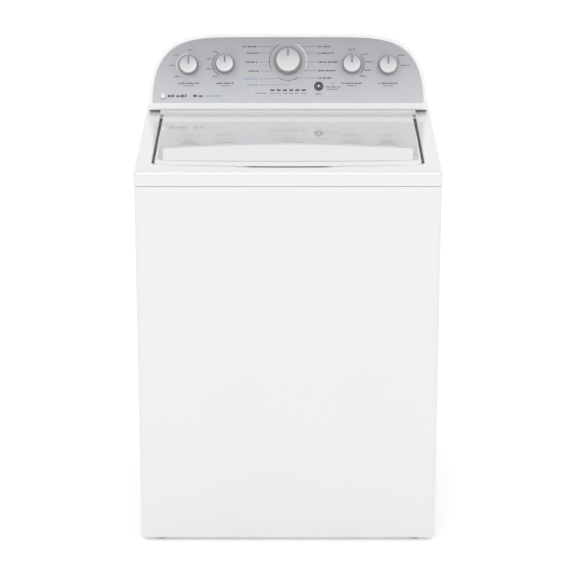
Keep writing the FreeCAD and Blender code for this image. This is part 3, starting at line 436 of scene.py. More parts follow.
def pin_bores(radius, near, far):
    """Bars along the lid's axis at both sides, to cut holes for its pins."""
    return [bar_shape(radius, (side * near, HINGE_Y, HINGE_Z), (side * far, HINGE_Y, HINGE_Z))
            for side in SIDES]


def lathe(profile, count=96, centre=(0.0, 0.0), closed=False):
    """Turns (radius, height) points about an upright axis."""
    rings = []
    for radius, height in profile:
        rings.append([(centre[0] + x, centre[1] + y, height) for x, y in circle(radius, count)])
    return loft(rings, closed)


def closed_lathe(profile, count, low, high):
    """A lathe that closes in a point at each end, at the heights low and high."""
    verts, faces = lathe(profile, count)
    tip = len(verts)
    last = tip - count
    verts += [(0.0, 0.0, high), (0.0, 0.0, low)]
    faces += [(last + k, last + (k + 1) % count, tip) for k in range(count)]
    faces += [((k + 1) % count, k, tip + 1) for k in range(count)]
    return verts, faces


def merged(parts):
    verts, faces = [], []
    for more_verts, more_faces in parts:
        start = len(verts)
        verts += list(more_verts)
        faces += [tuple(index + start for index in face) for face in more_faces]
    return verts, faces


# Console plane: u across, w up the sloping face, out of the face

FACE_LEAN = math.radians(20.5)
FACE_Y = 163.0
FACE_Z = 922.0
FACE_X = 340.0
FACE_LENGTH = 187.0
CONSOLE_REAR = 312.0


def on_face(u, w, out):
    lean, rise = math.sin(FACE_LEAN), math.cos(FACE_LEAN)
    return (u, FACE_Y + w * lean - out * rise, FACE_Z + w * rise + out * lean)


def placed(shape, u=0.0, w=0.0):
    """A shape moved onto the console's face, with its origin at (u, w)."""
    verts, faces = shape
    return [on_face(u + x, w + y, out) for x, y, out in verts], faces


# Worktop pressing

def top_panel():
    """Painted sheet: the skirt, the lid's recess with its finger notch, and the mouth over the basket."""
    fillet, gauge = 7.0, 2.0
    skirt, shoulder = 878.0, TOP_Z - fillet
    floor_z, mouth_z = 890.0, 858.1

    def crown(y, z):
        """The front rim falls 2 mm towards its edge."""
        return z - 2.0 * (max(0.0, -288 - y) / 50) ** 0.9 * smoothstep((z - 895) / 12)

    def outer(inset, z):
        radius = 12.0 - inset
        loop = frame_loop(349.5 - inset, -343 + inset, 0, 307 - inset, radius, radius)
        return [(x, y, crown(y, z)) for x, y in loop]

    def recess(grow, z, notch=0.0):
        """The recess's edge. In the middle of the front it is notched forward, and falls by notch."""
        reach = 4.5 if notch else 0.0
        ring = []
        for x, y in frame_loop(311.0 + grow, -289.5 - grow, BOW, 159 + grow, 19 + grow, 5 + grow):
            share = smoothstep((112 - abs(x)) / 22) if y < 0 else 0.0
            ring.append((x, y - reach * share, crown(y, z) - notch * share))
        return ring

    def mouth(grow, z):
        radius = 110 + grow
        return [(x, y, z) for x, y in frame_loop(232 + grow, -252 - grow, 0, radius, radius, radius)]

    rings = [outer(0.6, skirt), outer(0.15, skirt + 0.2), outer(0, skirt + 0.8), outer(0, 892)]
    rings += [outer(fillet * (1 - c), shoulder + fillet * s) for c, s in quarter(8)]
    rings += [outer(8.5, TOP_Z), recess(16, TOP_Z), recess(9, TOP_Z, 0.001)]
    rings += [recess(1.6 * (1 - s), TOP_Z - 1.6 * (1 - c), 2.2) for c, s in quarter(6)]
    rings += [recess(0, 906, 1.2), recess(0, 900, 0.6), recess(0, 893)]
    rings += [recess(-0.7, floor_z + 0.9), recess(-2.4, floor_z), recess(-8, floor_z)]
    rings += [mouth(4, floor_z), mouth(1.2, 889.3), mouth(0.1, 887.4), mouth(0, 880), mouth(0, mouth_z + 0.6)]
    rings += [mouth(0.5, mouth_z), mouth(1.5, mouth_z), mouth(gauge, mouth_z + 0.6), mouth(gauge, 885)]
    rings += [mouth(4, 888), recess(-2, 888), recess(1.2, 888.3), recess(gauge, 890), recess(gauge, 909)]
    rings += [recess(16, TOP_Z - gauge), outer(8.5, TOP_Z - gauge)]
    inner = fillet - gauge
    rings += [outer(gauge + inner * (1 - s), shoulder + inner * c) for c, s in quarter(6)]
    rings += [outer(gauge, 892), outer(gauge, skirt + 0.8), outer(1.6, skirt + 0.2)]
    verts, faces = loft(rings, closed=True)
    size = len(rings[0])
    # painted highlight: faces on the rounded edge of the worktop take the lighter enamel
    painted_highlight_faces = [1 if 5 <= index // size <= 8 else 0 for index in range(len(faces))]
    strike = box_shape((262, -118, 884), (278, -82, 896))
    spout = box_shape((50, 108, 861), (70, 116, 878))
    fill_hose = bar_shape(12.0, (60, 282, 905), (60, 282, 920))
    wiring = bar_shape(10.0, (-206, 264, 905), (-206, 264, 920))
    piece("worktop_pressing", verts, faces, ["white_enamel", "enamel_painted_highlight"], "cabinet",
          ["top_panel"], sharp=50.0, faces_slot=painted_highlight_faces,
          cutters=pin_bores(7.0, 305, 316) + [strike, spout, fill_hose, wiring])


# Lid

def lid_profile():
    """Depth of the lid's face for each millimetre behind its front edge. From the rear it is level, slopes
    gently, and bends into a slope that eases towards the front and mirrors the studio above the console."""
    depths = [0.0] * 460
    gentle = 0.018
    for v in range(440, 40, -1):
        depth = depths[v + 1]
        y, z = LID_FRONT - BOW + v, LID_TOP - depth
        over_console = math.atan2(CONSOLE_TOP_Z - z, CONSOLE_TOP_Y - y)
        sight = math.atan2(EYE_Z - z, y - EYE_Y)
        steeper = math.tan((over_console - sight) / 2) + 0.006 - gentle
        depths[v] = depth + gentle * smoothstep((330 - v) / 60) + steeper * smoothstep((203 - v) / 22)
    return depths


LID_PROFILE = lid_profile()


def lid_dip(x, v):
    """How far the lid's face is below its rear edge at x, v behind its front edge: a dish between level sides,
    and a lip that falls towards the front edge."""
    lip = 33.0
    across = smoothstep((300 - abs(x)) / 13)
    place = min(440.0, max(66.0, v) + 46 * (x / 255) ** 2)
    low = int(place)
    depth = LID_PROFILE[low] + (LID_PROFILE[low + 1] - LID_PROFILE[low]) * (place - low)
    dish = depth * smoothstep((v - lip) / 29)
    fall = 1.8 * max(0.0, (lip - v) / lip) ** 1.5
    return across * dish + fall * (0.35 + 0.65 * across)


def lid():
    """Thin painted skin, with a hollow for the fingers behind its front lip whose faces are coloured dark as
    painted shade.
    """
    edge, thick = 2.4, 1.2
    fold, foot = LID_TOP - edge, 892.0

    def loop(inset):
        return frame_loop(LID_HALF - inset, LID_FRONT + inset, BOW, 154 - inset, 15.0 - inset,
                          max(0.6, 5.0 - inset))

    def hollow(x, y):
        return 6.0 * smoothstep((108 - abs(x)) / 16) if y < 0 else 0.0

    def dip(x, y):
        front = LID_FRONT + edge - BOW * (1 - (x / (LID_HALF - edge)) ** 2)
        return lid_dip(x, max(0.0, y - front))

    border = loop(edge)
    drops = [dip(x, y) for x, y in border]

    def ring(inset, z, share, pressed=False):
        """share is how much of the face's dip this ring takes, and pressed puts it in the hollow."""
        points = []
        for (x, y), drop in zip(loop(inset), drops):
            points.append((x, y + (hollow(x, y) if pressed else 0.0), z - drop * share))
        return points

    def sheet(border, depth, pressed):
        rows = loop_grid(border)
        verts = []
        for index, row in enumerate(rows):
            for x, y in row:
                shift = hollow(x, y) if pressed and index == 0 else 0.0
                verts.append((x, y, LID_TOP - depth - dip(x, y - shift)))
        return verts, grid_faces(len(rows), len(rows[0]))

    outer = [ring(1.0, foot, 0), ring(0.3, foot + 0.2, 0), ring(0, foot + 0.9, 0), ring(0, 899, 0)]
    outer += [ring(0, 900, 0, True), ring(0.5, 912.45, 1.0, True), ring(0.5, 912.6, 1.0)]
    outer += [ring(edge * (1 - c), fold + edge * s, 1.0) for c, s in quarter(7)[3:]]
    reach = edge - thick
    inner = [ring(thick, foot, 0), ring(thick, 897.6, 0), ring(thick, 898.4, 0, True)]
    inner += [ring(thick + reach * (1 - c), fold + reach * s, 1.0, True) for c, s in quarter(5)]
    face = sheet(border, 0.0, False)
    back = sheet([(x, y + hollow(x, y)) for x, y in border], thick, True)
    verts, faces = merged([loft(outer), face, loft(inner), back])
    size = len(border)
    start = len(outer) * size + len(face[0])
    faces += [(i, start + i, start + (i + 1) % size, (i + 1) % size) for i in range(size)]
    # painted shade: faces in the finger hollow take the dark slot
    painted_shade = []
    for index, corners in enumerate(faces):
        x, y, z = (sum(verts[i][axis] for i in corners) / len(corners) for axis in range(3))
        painted_shade_face = index < 6 * size and abs(x) < 106 and y < -278 and 899.2 < z < 911.4
        painted_shade.append(1 if painted_shade_face else 0)
    piece("lid_pressing", verts, faces, ["white_enamel", "groove_dark"], "lid", ["lid_skin"],
          sharp=50.0, faces_slot=painted_shade, cutters=pin_bores(4.0, 300, 308))


def lid_liner():
    """Inner lid: a shallow tray with rounded edges and three pressed ribs."""
    base, gauge = 893.0, 1.8

    def loop(inset, z):
        radius = 13.5 - min(inset, 11)
        ring = frame_loop(303.0 - inset, -285.0 + inset, BOW, 138.5 - inset, radius, radius)
        return [(x, y, z) for x, y in ring]

    def rib(x, y):
        ends = smoothstep((255 - abs(x)) / 6)
        return 0.9 * ends * max(smoothstep((9 - abs(y - middle)) / 5) for middle in (-190.0, -75.0, 40.0))

    edge = [loop(inset, base + rise) for inset, rise in (
        (3.2, 3.4), (2.5, 4), (0.6, 4), (0, 3.4), (0, 2.2), (0.5, 1.2), (1.6, 0.3), (3.2, 0), (16, 0))]
    rim = [loop(16, base + gauge), loop(4.6, base + gauge), loop(3.2, base + 3.4)]
    rows = loop_grid([(x, y) for x, y, _ in edge[-1]])
    sheets = []
    for lift in (0.0, gauge):
        verts = [(x, y, base + lift + rib(x, y)) for row in rows for x, y in row]
        sheets.append((verts, grid_faces(len(rows), len(rows[0]))))
    verts, faces = merged([loft(edge), *sheets, loft(rim)])
    piece("lid_inner_tray", verts, faces, ["white_plastic"], "lid", ["lid_liner"],
          sharp=40.0)


# Console housing

ARCH, FOOT = 120, 48            # steps along its arch and its foot
SIDE_POWER, TOP_POWER = 6.2, 2.6


def arch_point(t, inset):
    """A point of the console's outline, moved inward along its normal."""
    c, s = math.cos(t), math.sin(t)
    u = FACE_X * math.copysign(abs(c) ** (2 / SIDE_POWER), c)
    w = FACE_LENGTH * max(0.0, s) ** (2 / TOP_POWER)
    du = SIDE_POWER * math.copysign(abs(u / FACE_X) ** (SIDE_POWER - 1), u) / FACE_X
    dw = TOP_POWER * abs(w / FACE_LENGTH) ** (TOP_POWER - 1) / FACE_LENGTH
    size = math.hypot(du, dw) or 1.0
    return u - inset * du / size, w - inset * dw / size


def arch_start(inset, foot):
    """The angle at which the inset outline is at the height foot."""
    low, high = 0.0, math.pi / 2
    for _ in range(40):
        middle = (low + high) / 2
        if arch_point(middle, inset)[1] < foot:
            low = middle
        else:
            high = middle
    return high


def console_loop(inset, foot, out):
    """The outline from its right foot over the arch to its left foot, and back along the foot."""
    start = arch_start(inset, foot)
    ring = []
    for k in range(ARCH + 1):
        share = k / ARCH
        eased = share - 0.13 * math.sin(2 * math.pi * share)
        u, w = arch_point(start + (math.pi - 2 * start) * eased, inset)
        ring.append((u, w, out))
    right, left = ring[0][0], ring[-1][0]
    ring += [(left + (right - left) * k / FOOT, foot, out) for k in range(1, FOOT)]
    return ring


def wall_depth(w):
    """How far the housing reaches behind its face, to the worktop or to its upright back."""
    lean, rise = math.sin(FACE_LEAN), math.cos(FACE_LEAN)
    return min((CONSOLE_REAR - FACE_Y - w * lean) / rise, (FACE_Z - TOP_Z + w * rise) / lean)


def console():
    """Arched housing with a bed for the film, and the straight toe that it stands on."""
    round_r = 4.5
    rings = [console_loop(15, 23, -4), console_loop(15, 23, -1.0), console_loop(9.0, 17.0, -1.0)]
    rings += [console_loop(9.0, 17.0, -0.5), console_loop(8.8, 16.8, -0.12), console_loop(8.2, 16.2, 0)]
    rings += [console_loop(round_r * (1 - s), 3.2 * (1 - s), -round_r * (1 - c)) for c, s in quarter(7)]
    for inset, front, share in ((0, round_r, 0.25), (0, round_r, 0.5), (0, round_r, 0.75), (0, round_r, 1.0),
                                (3, 4.0, 1.0), (3, 4.0, 0.6), (3, 4.0, 0.2)):
        ring = console_loop(inset, inset, 0)
        rings.append([(u, w, -front - (wall_depth(w) - front) * share) for u, w, _ in ring])
    rings.append(console_loop(6, 6, -4))
    toe = []
    for half, z in ((312, TOP_Z), (312, 918.5), (311.4, 920.3), (310, 921)):
        front = 168 + 312 - half
        toe.append([(-half, front, z), (half, front, z), (half, 190, z), (-half, 190, z)])
    verts, faces = merged([placed(loft(rings, closed=True)), capped(toe)])
    piece("console_housing", verts, faces, ["white_plastic"], "cabinet", ["console_shell"],
          sharp=32.0)


# Knobs and buttons

# Node, body, middle on the face, radius of the base and of the face, and height
KNOBS = [
    ("load_knob", "load_selector", -243.0, 109.0, 24.5, 20.8, 24.0),
    ("soil_knob", "soil_selector", -154.5, 112.0, 24.5, 20.8, 24.0),
    ("cycle_knob", "cycle_selector", 0.0, 120.0, 35.0, 28.5, 25.0),
    ("temperature_knob", "temperature_selector", 156.0, 111.5, 24.5, 20.8, 24.0),
    ("rinse_knob", "rinse_selector", 244.6, 109.0, 24.5, 20.8, 24.0),
]
START = (75.3, 57.8)
LENSES = [15.3 * (index - 2.5) for index in range(6)]


def knob(name, body, u, w, base_r, face_r, height):
    """A knob with a fluted skirt, a spun face and an inlaid pointer."""
    count, flutes, flute_depth = 192, 32, 0.55
    skirt, edge, dish = 2.6, 2.2, 0.75
    profile = [(base_r - 3, 0.6), (base_r - 0.5, 0.6), (base_r, 1.1), (base_r - 0.1, skirt)]
    for k in range(1, 8):
        share = k / 7
        radius = base_r - 0.1 - (base_r - face_r - 0.2) * share ** 0.72
        profile.append((radius, skirt + (height - edge - skirt) * share))
    side_rows = len(profile) - 1
    rim = profile[-1][0]
    profile += [(rim - edge * (1 - c), height - edge + edge * s) for c, s in quarter(6)[1:]]
    profile += [(rim * share, height - dish * (1 - share ** 2)) for share in (0.86, 0.6, 0.35, 0.12)]
    verts, faces = closed_lathe(profile, count, 0.6, height - dish)
    for index in range(3 * count, (side_rows + 1) * count):
        x, y, z = verts[index]
        flute = 0.5 - 0.5 * math.cos(2 * math.pi * flutes * (index % count) / count)
        share = 1 - flute_depth * flute * smoothstep((index // count - 3) / 2) / math.hypot(x, y)
        verts[index] = (x * share, y * share, z)
    # painted shade: the skirt and the underside take the darker side material
    picks = [1 if index // count < side_rows else 0 for index in range(len(faces))]
    picks[-count:] = [1] * count
    verts, faces = placed((verts, faces), u, w)
    face = name + "_face"
    knob_face(face, on_face(u, w, height)[2] * MM, face_r * MM)
    piece(name + "_cap", verts, faces, [face, "knob_side_painted_shade"], body, [name], sharp=35.0,
          faces_slot=picks)
    half = 1.9
    outline = []
    for start, middle in ((0.0, face_r - 1.2 - half), (math.pi, face_r - 19.5 + half)):
        for k in range(9):
            angle = start + math.pi * k / 8
            outline.append((u + half * math.cos(angle), w + middle + half * math.sin(angle)))
    prism(name + "_pointer", [outline], height - 1.4, height - 0.02, "pointer_grey", body)


def prism_shape(outline, low, high):
    return capped([[(u, w, out) for u, w in outline] for out in (low, high)])


def prism(name, outlines, low, high, material, body):
    """Flat marks of one finish, each an outline in the face plane given a little thickness."""
    verts, faces = placed(merged([prism_shape(outline, low, high) for outline in outlines]))
    piece(name, verts, faces, [material], body, sharp=30.0)


def start_button():
    u, w = START
    profile = [(9.6, -8), (10.9, -8), (10.9, 1.7), (10.7, 2.4), (10.2, 2.85), (9.4, 3.0), (8.6, 2.8),
               (6.0, 2.25), (3.0, 1.95)]
    verts, faces = placed(closed_lathe(profile, 64, -8, 1.85), u, w)
    piece("start_cap", verts, faces, ["button_black"], "start", ["start_button"])
    icon = [(u - 2.2, w - 3.4), (u + 3.6, w), (u - 2.2, w + 3.4)]
    prism("start_icon", [icon], 1.6, 2.45, "print_white", "start")


def rounded_outline(u, w, half_u, half_w, radius, steps=4):
    outline = []
    for turns, (su, sw) in enumerate(((1, 1), (-1, 1), (-1, -1), (1, -1))):
        for k in range(steps + 1):
            angle = math.radians(90 * turns + 90 * k / steps)
            outline.append((u + su * (half_u - radius) + radius * math.cos(angle),
                            w + sw * (half_w - radius) + radius * math.sin(angle)))
    return outline


def lenses():
    """Six smoked windows, a little proud of the film."""
    shapes = []
    for u in LENSES:
        foot, top = rounded_outline(u, 48.0, 4.9, 1.9, 1.0), rounded_outline(u, 48.0, 4.6, 1.6, 0.8)
        rows = ((foot, -3.5), (foot, 0.15), (top, 0.4))
        shapes.append(capped([[(a, b, out) for a, b in outline] for outline, out in rows]))
    verts, faces = placed(merged(shapes))
    piece("indicator_windows", verts, faces, ["lens_smoke"], "cabinet", ["indicator_lenses"])


# Printed marks

def arc_outline(u, w, radius, start, end, half):
    """An arc band, in degrees anticlockwise from +u."""
    steps = max(6, int(abs(end - start) / 5))
    angles = [math.radians(start + (end - start) * k / steps) for k in range(steps + 1)]
    outer = [(u + (radius + half) * math.cos(a), w + (radius + half) * math.sin(a)) for a in angles]
    inner = [(u + (radius - half) * math.cos(a), w + (radius - half) * math.sin(a)) for a in angles]
    return outer + inner[::-1]


def line_outline(a, b, half):
    run = Vector((b[0] - a[0], b[1] - a[1])).normalized() * half
    return [(a[0] + run.y, a[1] - run.x), (b[0] + run.y, b[1] - run.x), (b[0] - run.y, b[1] + run.x),
            (a[0] - run.y, a[1] + run.x)]


def dot_outline(u, w, radius):
    return [(u + x, w + y) for x, y in circle(radius, 16)]


def greeked(u, w, length, height, seed, align="left"):
    """A row of short bars that stands for a printed word."""
    outlines = []
    place = {"left": u, "right": u - length, "centre": u - length / 2}[align]
    end = place + length
    step = 0
    while place < end - 0.8:
        share = 0.5 + 0.5 * noise.noise(Vector((seed * 3.1, step * 1.7, 0.5)))
        width = min(height * (0.5 + 1.1 * share), end - place)
        tall = height * (0.72 + 0.28 * ((step * 7 + seed) % 3) / 2)
        outlines.append(rounded_outline(place + width / 2, w - (height - tall) / 2, width / 2, tall / 2,
                                        min(width, tall) * 0.22, 2))
        place += width + height * (0.28 if (step + seed) % 4 else 0.75)
        step += 1
    return outlines


def on_clock(u, w, radius, degrees):
    """A point by its angle from straight up, clockwise."""
    angle = math.radians(90 - degrees)
    return u + radius * math.cos(angle), w + radius * math.sin(angle)


# Small dials: middle, radius of the labels and of their dots, length and alignment of the labels, how far a
# label at the top is moved over, and each label's angle from the top with its seed
DIALS = [
    (-243.0, 109.0, 36.0, 32.5, 11, "right", 5.0, ((0, 31), (-45, 32), (-90, 33), (-140, 34))),
    (-154.5, 112.0, 35.0, 32.0, 12, "right", 0.0, ((-30, 41), (-68, 42), (-110, 43), (-150, 44))),
    (156.0, 111.5, 35.0, 32.0, 16, "left", 0.0, ((0, 51), (45, 52), (80, 53), (115, 54), (145, 55))),
    (244.6, 109.0, 35.0, 32.0, 18, "left", 0.0, ((45, 61), (90, 62))),
]
# Main dial: height, length and seed of each label
LEFT_LABELS = ((155, 39, 3), (139, 28, 4), (117, 32, 5), (95, 26, 6), (76, 36, 7), (61, 28, 8))
RIGHT_LABELS = ((155, 31, 11), (139, 39, 12), (117, 47, 13), (96, 43, 14), (78, 33, 15))


def printed_marks():
    dark, white, blue = [], [], []
    hair = 0.35
    # main dial: each label has a dot and a line towards its arc
    middle, reach = 120.0, 45.5
    dark.append(arc_outline(0.0, middle, reach, 118, 205, 0.8))
    white.append(arc_outline(0.0, middle, reach, 62, -25, 0.8))
    dark.append(arc_outline(0.0, middle, 48.0, 240, 300, 0.7))
    for side, start, nearest, labels in ((-1, 72.0, 30.0, LEFT_LABELS), (1, 73.0, 0.0, RIGHT_LABELS)):
        for w, length, seed in labels:
            ink = blue if side < 0 and w < 80 else dark
            ink += greeked(side * start, w, length, 4.2, seed, "right" if side < 0 else "left")
            dark.append(dot_outline(side * 65.5, w, 1.3))
            end = max(nearest, reach * math.sqrt(1 - min(0.95, abs(w - middle) / reach) ** 2))
            if w > 70:
                dark.append(line_outline((side * 63.0, w), (side * end, w), hair))
    dark.append(line_outline((-63.0, 61.0), (0.2, 61.0), hair))
    dark.append(line_outline((0.0, 61.4), (0.0, middle - 48.8), hair))
    # small dials, with a title under each
    white.append(arc_outline(-243.0, 109.0, 30.0, 90, 232, 0.6))
    dark.append(arc_outline(-154.5, 112.0, 30.0, 120, 240, 0.8))
    dark.append(arc_outline(156.0, 111.5, 30.0, 45, -45, 0.8))
    dark.append(line_outline(on_clock(244.6, 109.0, 30.0, 45), on_clock(244.6, 109.0, 30.0, 90), 0.6))
    for u, w, label_r, dot_r, length, align, over, labels in DIALS:
        for clock, seed in labels:
            a, b = on_clock(u, w, label_r, clock)
            if clock:
                dark += greeked(a, b, length, 3.0, seed, align)
            else:
                dark += greeked(a + over, b + 2, length, 3.0, seed, "centre")
            dark.append(dot_outline(*on_clock(u, w, dot_r, clock), 1.0))
    for u, length, seed in ((-243.0, 52, 21), (-154.5, 42, 22), (156.0, 50, 23), (244.6, 48, 24)):
        dark += greeked(u, 65.0, length, 3.8, seed, "centre")
        dark += greeked(u, 59.0, length * 0.5, 2.2, seed + 5, "centre")
    # indicator captions and the start button's marks
    for index, u in enumerate(LENSES):
        dark += greeked(u, 40.5, 11, 2.2, 70 + index, "centre")
    dark += greeked(-52, 40.5, 28, 2.2, 77, "right")
    dark += greeked(START[0], 39.0, 16, 2.6, 78, "centre")
    dark += greeked(93, 56.0, 36, 3.0, 79)
    dark += greeked(93, 50.5, 30, 2.4, 80)
    white.append(arc_outline(*START, 12.6, 2, 178, hair))
    white.append(arc_outline(*START, 12.6, 182, 358, hair))
    dark.append(arc_outline(110, 64, 2.6, 30, 330, 0.45))
    # generic water drop, capacity bars and a tagline
    angles = [math.radians(150 + 240 * k / 14) for k in range(15)]
    white.append([(-306 + 4.6 * math.cos(a), 33 + 4.6 * math.sin(a)) for a in angles] + [(-306, 43)])
    dark.append(arc_outline(-306, 33, 7.4, 200, 340, 0.6))
    dark += greeked(-294, 34, 46, 7.0, 91)
    dark += greeked(-232, 34, 24, 6.5, 92)
    blue += greeked(-202, 34, 40, 3.6, 93)
    for ink, outlines in (("print_dark", dark), ("print_white", white), ("print_blue", blue)):
        prism("console_" + ink, outlines, -0.2, 0.12, ink, "cabinet")


# Inside of the machine

def basket_wall():
    """Perforated wall: a grid of cells, each with a round hole."""
    columns, rows, hole = 80, 20, 3.5
    low, high, radius, wall = 232.0, 752.0, 263.0, 1.5
    pitch_a, pitch_z = 2 * math.pi / columns, (high - low) / rows
    cell = ((0, 0), (0.5, 0), (1, 0), (1, 0.5), (1, 1), (0.5, 1), (0, 1), (0, 0.5))
    parts = []
    for row in range(rows):
        for column in range(columns):
            points = [((column + a) * pitch_a, low + (row + z) * pitch_z) for a, z in cell]
            for k in range(8):
                angle = math.radians(-135 + 45 * k)
                points.append(((column + 0.5) * pitch_a + hole / radius * math.cos(angle),
                               low + (row + 0.5) * pitch_z + hole * math.sin(angle)))
            verts = []
            for r in (radius, radius - wall):
                verts += [(r * math.cos(a), DRUM_Y + r * math.sin(a), z) for a, z in points]
            faces = []
            for k in range(8):
                j = (k + 1) % 8
                faces += [(k, j, 8 + j, 8 + k), (16 + j, 16 + k, 24 + k, 24 + j)]
                faces.append((8 + k, 8 + j, 24 + j, 24 + k))
                if (row == 0 and k in (0, 1)) or (row == rows - 1 and k in (4, 5)):
                    faces.append((j, k, 16 + k, 16 + j))
            parts.append((verts, faces))
    verts, faces = merged(parts)
    piece("basket_drum", verts, faces, ["basket_steel"], "basket", ["basket_wall"],
          sharp=50.0)


def spring_coils():
    """Four coil springs under the tub's ears."""
    wire, mean, turns = 2.4, 18.5, 9
    low, high = 172.0 + wire, 330.0 - wire
    steps = 22 * turns
    shapes = []
    for x in (-285, 285):
        for y in (-275, 235):
            rings = []
            for k in range(steps + 1):
                angle = 2 * math.pi * turns * k / steps
                out = Vector((math.cos(angle), math.sin(angle), 0.0))
                centre = Vector((x, y, low + (high - low) * k / steps)) + out * mean
                rings.append([centre + out * a + Vector((0, 0, b)) for a, b in circle(wire, 10)])
            shapes.append(capped(rings))
    verts, faces = merged(shapes)
    obj = piece("tub_springs", verts, faces, ["zinc_steel"], None, ["suspension_springs"])
    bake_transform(obj)


DRAIN_ROUTE = [(185, 104, 160), (185, 190, 160), (192, 255, 214), (206, 272, 336), (222, 278, 500),
               (215, 275, 650), (215, 275, 770)]
HARNESS_ROUTE = [(-205, 244, 985), (-206, 262, 925), (-208, 272, 862), (-213, 279, 760), (-206, 284, 630),
                 (-213, 281, 500), (-207, 284, 370), (-200, 268, 260), (-190, 205, 172), (-178, 122, 152),
                 (-170, 43, 150)]


def even_line(route, step):
    """Points an even step apart, in millimetres, along the smooth curve that a route's points control."""
    curve = bpy.data.curves.new("route", "CURVE")
    curve.dimensions = "3D"
    curve.resolution_u = 32
    spline = curve.splines.new("NURBS")
    spline.points.add(len(route) - 1)
    for point, place in zip(spline.points, route):
        point.co = (*place, 1.0)
    spline.order_u = 3
    spline.use_endpoint_u = True
    holder = bpy.data.objects.new("route", curve)
    mesh = bpy.data.meshes.new_from_object(holder)
    points = [vertex.co.copy() for vertex in mesh.vertices]
    bpy.data.objects.remove(holder)
    bpy.data.curves.remove(curve)
    bpy.data.meshes.remove(mesh)
    reach = [0.0]
    for a, b in zip(points, points[1:]):
        reach.append(reach[-1] + (b - a).length)
    count = max(2, round(reach[-1] / step))
    line, at = [], 0
    for k in range(count + 1):
        wanted = reach[-1] * k / count
        while at < len(points) - 2 and reach[at + 1] < wanted:
            at += 1
        share = (wanted - reach[at]) / (reach[at + 1] - reach[at])
        line.append(points[at].lerp(points[at + 1], share))
    return line


def hose(name, node, route, outer, inner, groove, pitch, cuff, sides, material):
    """A corrugated hose between the tub and the cabinet, smooth at its two cuffs."""
    step = pitch / 4
    line = even_line(route, step)
    turn = (line[1] - line[0]).to_track_quat("Z", "X")
    outside, inside = [], []
    for k, place in enumerate(line):
        ahead = line[min(k + 1, len(line) - 1)] - line[max(k - 1, 0)]
        turn = (turn @ Vector((0, 0, 1))).rotation_difference(ahead) @ turn
        from_end = min(k, len(line) - 1 - k) * step
        depth = groove * (0.5 - 0.5 * math.cos(math.pi * k / 2)) * smoothstep((from_end - cuff) / 6)
        for rings, radius in ((outside, outer - depth), (inside, inner)):
            rings.append([place + turn @ Vector((x, y, 0)) for x, y in circle(radius, sides)])
    verts, faces = loft(outside + inside[::-1], closed=True)
    obj = piece(name, verts, faces, [material], None, [node], sharp=60.0)
    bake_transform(obj)


def spoke(degrees):
    """Level unit vectors along a heading and across it."""
    angle = math.radians(degrees)
    return Vector((math.cos(angle), math.sin(angle), 0)), Vector((-math.sin(angle), math.cos(angle), 0))


def agitator():
    """Bell, four swept vanes and eight barrel fins."""
    outer = [(180.0, 246.0), (180.0, 250.0), (177.0, 253.5), (166, 257), (150, 262), (128, 270.5), (105, 282),
             (88, 297), (74, 318), (66, 343), (62, 372), (58, 430), (55, 500), (52, 580), (50, 636),
             (49.2, 640)]
    inner = [(47.5, 640.0), (49, 580), (53, 480), (59, 372), (71, 318), (102, 279.5), (149, 259), (176, 250),
             (177.5, 246)]
    parts = [lathe(outer + inner, 96, (0, DRUM_Y), closed=True)]
    for index in range(4):
        rings = []
        for k in range(15):
            share = k / 14
            along, across = spoke(45 + 90 * index + 14 * share ** 1.5)
            centre = along * (56 + 120 * share) + Vector((0, DRUM_Y, 0))
            crest = 262 + 205 * (1 - share) ** 1.7 + 16 * math.sin(math.pi * share)
            foot = 255 + 130 * (1 - share) ** 2.6
            half, middle = 4.6 - 1.4 * share, (foot + crest) / 2
            section = ((-1, foot), (-1, middle), (-0.85, crest - 3), (-0.45, crest - 0.8), (0.0, crest),
                       (0.45, crest - 0.8), (0.85, crest - 3), (1, middle), (1, foot))
            rings.append([centre + across * half * side + Vector((0, 0, z)) for side, z in section])
        parts.append(capped(rings))
    for index in range(8):
        along, across = spoke(22.5 + 45 * index)
        rings = []
        for k in range(13):
            share = k / 12
            radius = 57.5 - 7.0 * share
            tall = 9.5 * math.sin(math.pi * (0.06 + 0.88 * share)) ** 0.6
            centre = across * 16 * (share - 0.5) + Vector((0, DRUM_Y, 420 + 200 * share))
            section = ((-3.2, -3.0), (-2.6, tall * 0.5), (-1.2, tall * 0.9), (0, tall), (1.2, tall * 0.9),
                       (2.6, tall * 0.5), (3.2, -3.0))
            rings.append([centre + along * (radius + reach) + across * side for side, reach in section])
        parts.append(capped(rings))
    verts, faces = merged(parts)
    piece("agitator_bell", verts, faces, ["agitator_plastic"], "agitator", ["agitator"],
          sharp=40.0)


# Carried-over CAD nodes

# Feet and the tops of their rubber pads, in metres
PADS = (("foot_front_left", 0.0078), ("foot_front_right", 0.0078), ("rear_leveling_leg", 0.0102))


def carry_over():
    """Gives every CAD node its slot's material, and smooth faces with sharp edges."""
    slots = {row["node"]: row["material_slot"] for row in frame["record"]["subparts"]}
    for name, obj in frame["nodes"].items():
        mesh = obj.data
        mesh.materials.clear()
        mesh.materials.append(materials[slots[name]])
        mesh.polygons.foreach_set("use_smooth", [True] * len(mesh.polygons))
        weld = obj.modifiers.new("weld", "WELD")
        weld.merge_threshold = 0.000004
        split = obj.modifiers.new("split", "EDGE_SPLIT")
        split.split_angle = math.radians(32.0)
        split.use_edge_sharp = False
    for name, pad_top in PADS:
        mesh = frame["nodes"][name].data
        mesh.materials.append(materials["black_rubber"])
        for polygon in mesh.polygons:
            if polygon.center.z < pad_top:
                polygon.material_index = 1


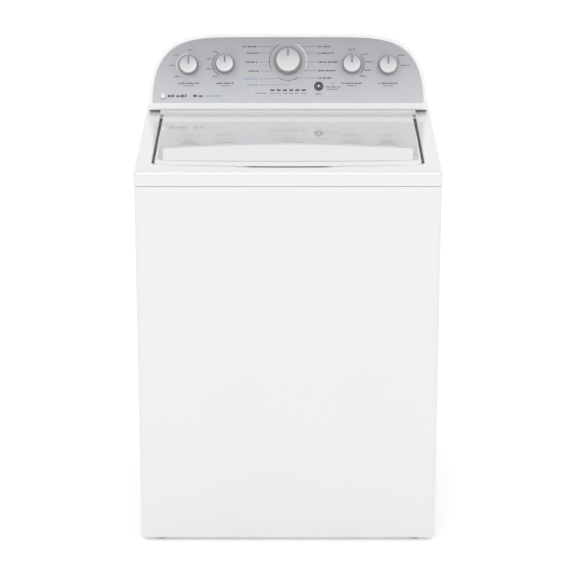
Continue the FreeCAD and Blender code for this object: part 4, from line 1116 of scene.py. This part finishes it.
carry_over()
top_panel()
lid()
lid_liner()
console()
for row in KNOBS:
    knob(*row)
start_button()
lenses()
printed_marks()
basket_wall()
spring_coils()
hose("drain_line", "drain_hose", DRAIN_ROUTE, outer=14.0, inner=11.5, groove=1.6, pitch=6.0, cuff=32.0,
     sides=24, material="hose_grey")
hose("wire_loom", "wire_harness", HARNESS_ROUTE, outer=5.0, inner=3.6, groove=0.6, pitch=4.0, cuff=14.0,
     sides=12, material="black_nylon")
agitator()


# Floor, world and lights

reach = 30000.0
floor = piece("floor", [(-reach, -reach, 0), (reach, -reach, 0), (reach, reach, 0), (-reach, reach, 0)],
              [(0, 1, 2, 3)], [], None)
floor_nodes = finish("studio_floor", (0.93, 0.93, 0.93), vary=0.002, rough=(0.85, 0.95), patch=0.6,
                     grain=20.0, grain_height=0.00001)
floor_nodes.set(Emission_Color=(1.0, 1.0, 1.0, 1.0), Emission_Strength=0.2)
floor.data.materials.append(materials["studio_floor"])

world = bpy.data.worlds.new("studio")
bpy.context.scene.world = world
world.use_nodes = True
# an even sky, dimmer towards the two sides
sky = world.node_tree
direction = sky.nodes.new("ShaderNodeTexCoord").outputs["Generated"]
parts = sky.nodes.new("ShaderNodeSeparateXYZ")
sky.links.new(direction, parts.inputs["Vector"])
dim = sky.nodes.new("ShaderNodeMapRange")
for key, value in (("From Min", 0.35), ("From Max", 1.0), ("To Min", 1.0), ("To Max", 0.62)):
    dim.inputs[key].default_value = value
sideways = sky.nodes.new("ShaderNodeMath")
sideways.operation = "ABSOLUTE"
sky.links.new(parts.outputs["X"], sideways.inputs[0])
sky.links.new(sideways.outputs["Value"], dim.inputs["Value"])
sky.links.new(dim.outputs["Result"], sky.nodes["Background"].inputs["Color"])
sky.nodes["Background"].inputs["Strength"].default_value = 1.03


def area_light(name, place, target, size, watts):
    data = bpy.data.lights.new(name, "AREA")
    data.shape = "RECTANGLE"
    data.size, data.size_y = size
    data.energy = watts
    light = bpy.data.objects.new(name, data)
    light.location = place
    aim = Vector(target) - Vector(place)
    light.rotation_euler = aim.to_track_quat("-Z", "Y").to_euler()
    bpy.context.scene.collection.objects.link(light)


area_light("key", (-2.6, -3.4, 3.6), (0, 0, 0.6), (2.4, 2.4), 28.0)
area_light("fill", (2.8, -3.0, 3.0), (0, 0, 0.6), (2.4, 2.4), 18.0)

bpy.context.scene.view_settings.view_transform = "Standard"
bpy.context.scene.view_settings.look = "None"

bpy.context.view_layer.update()
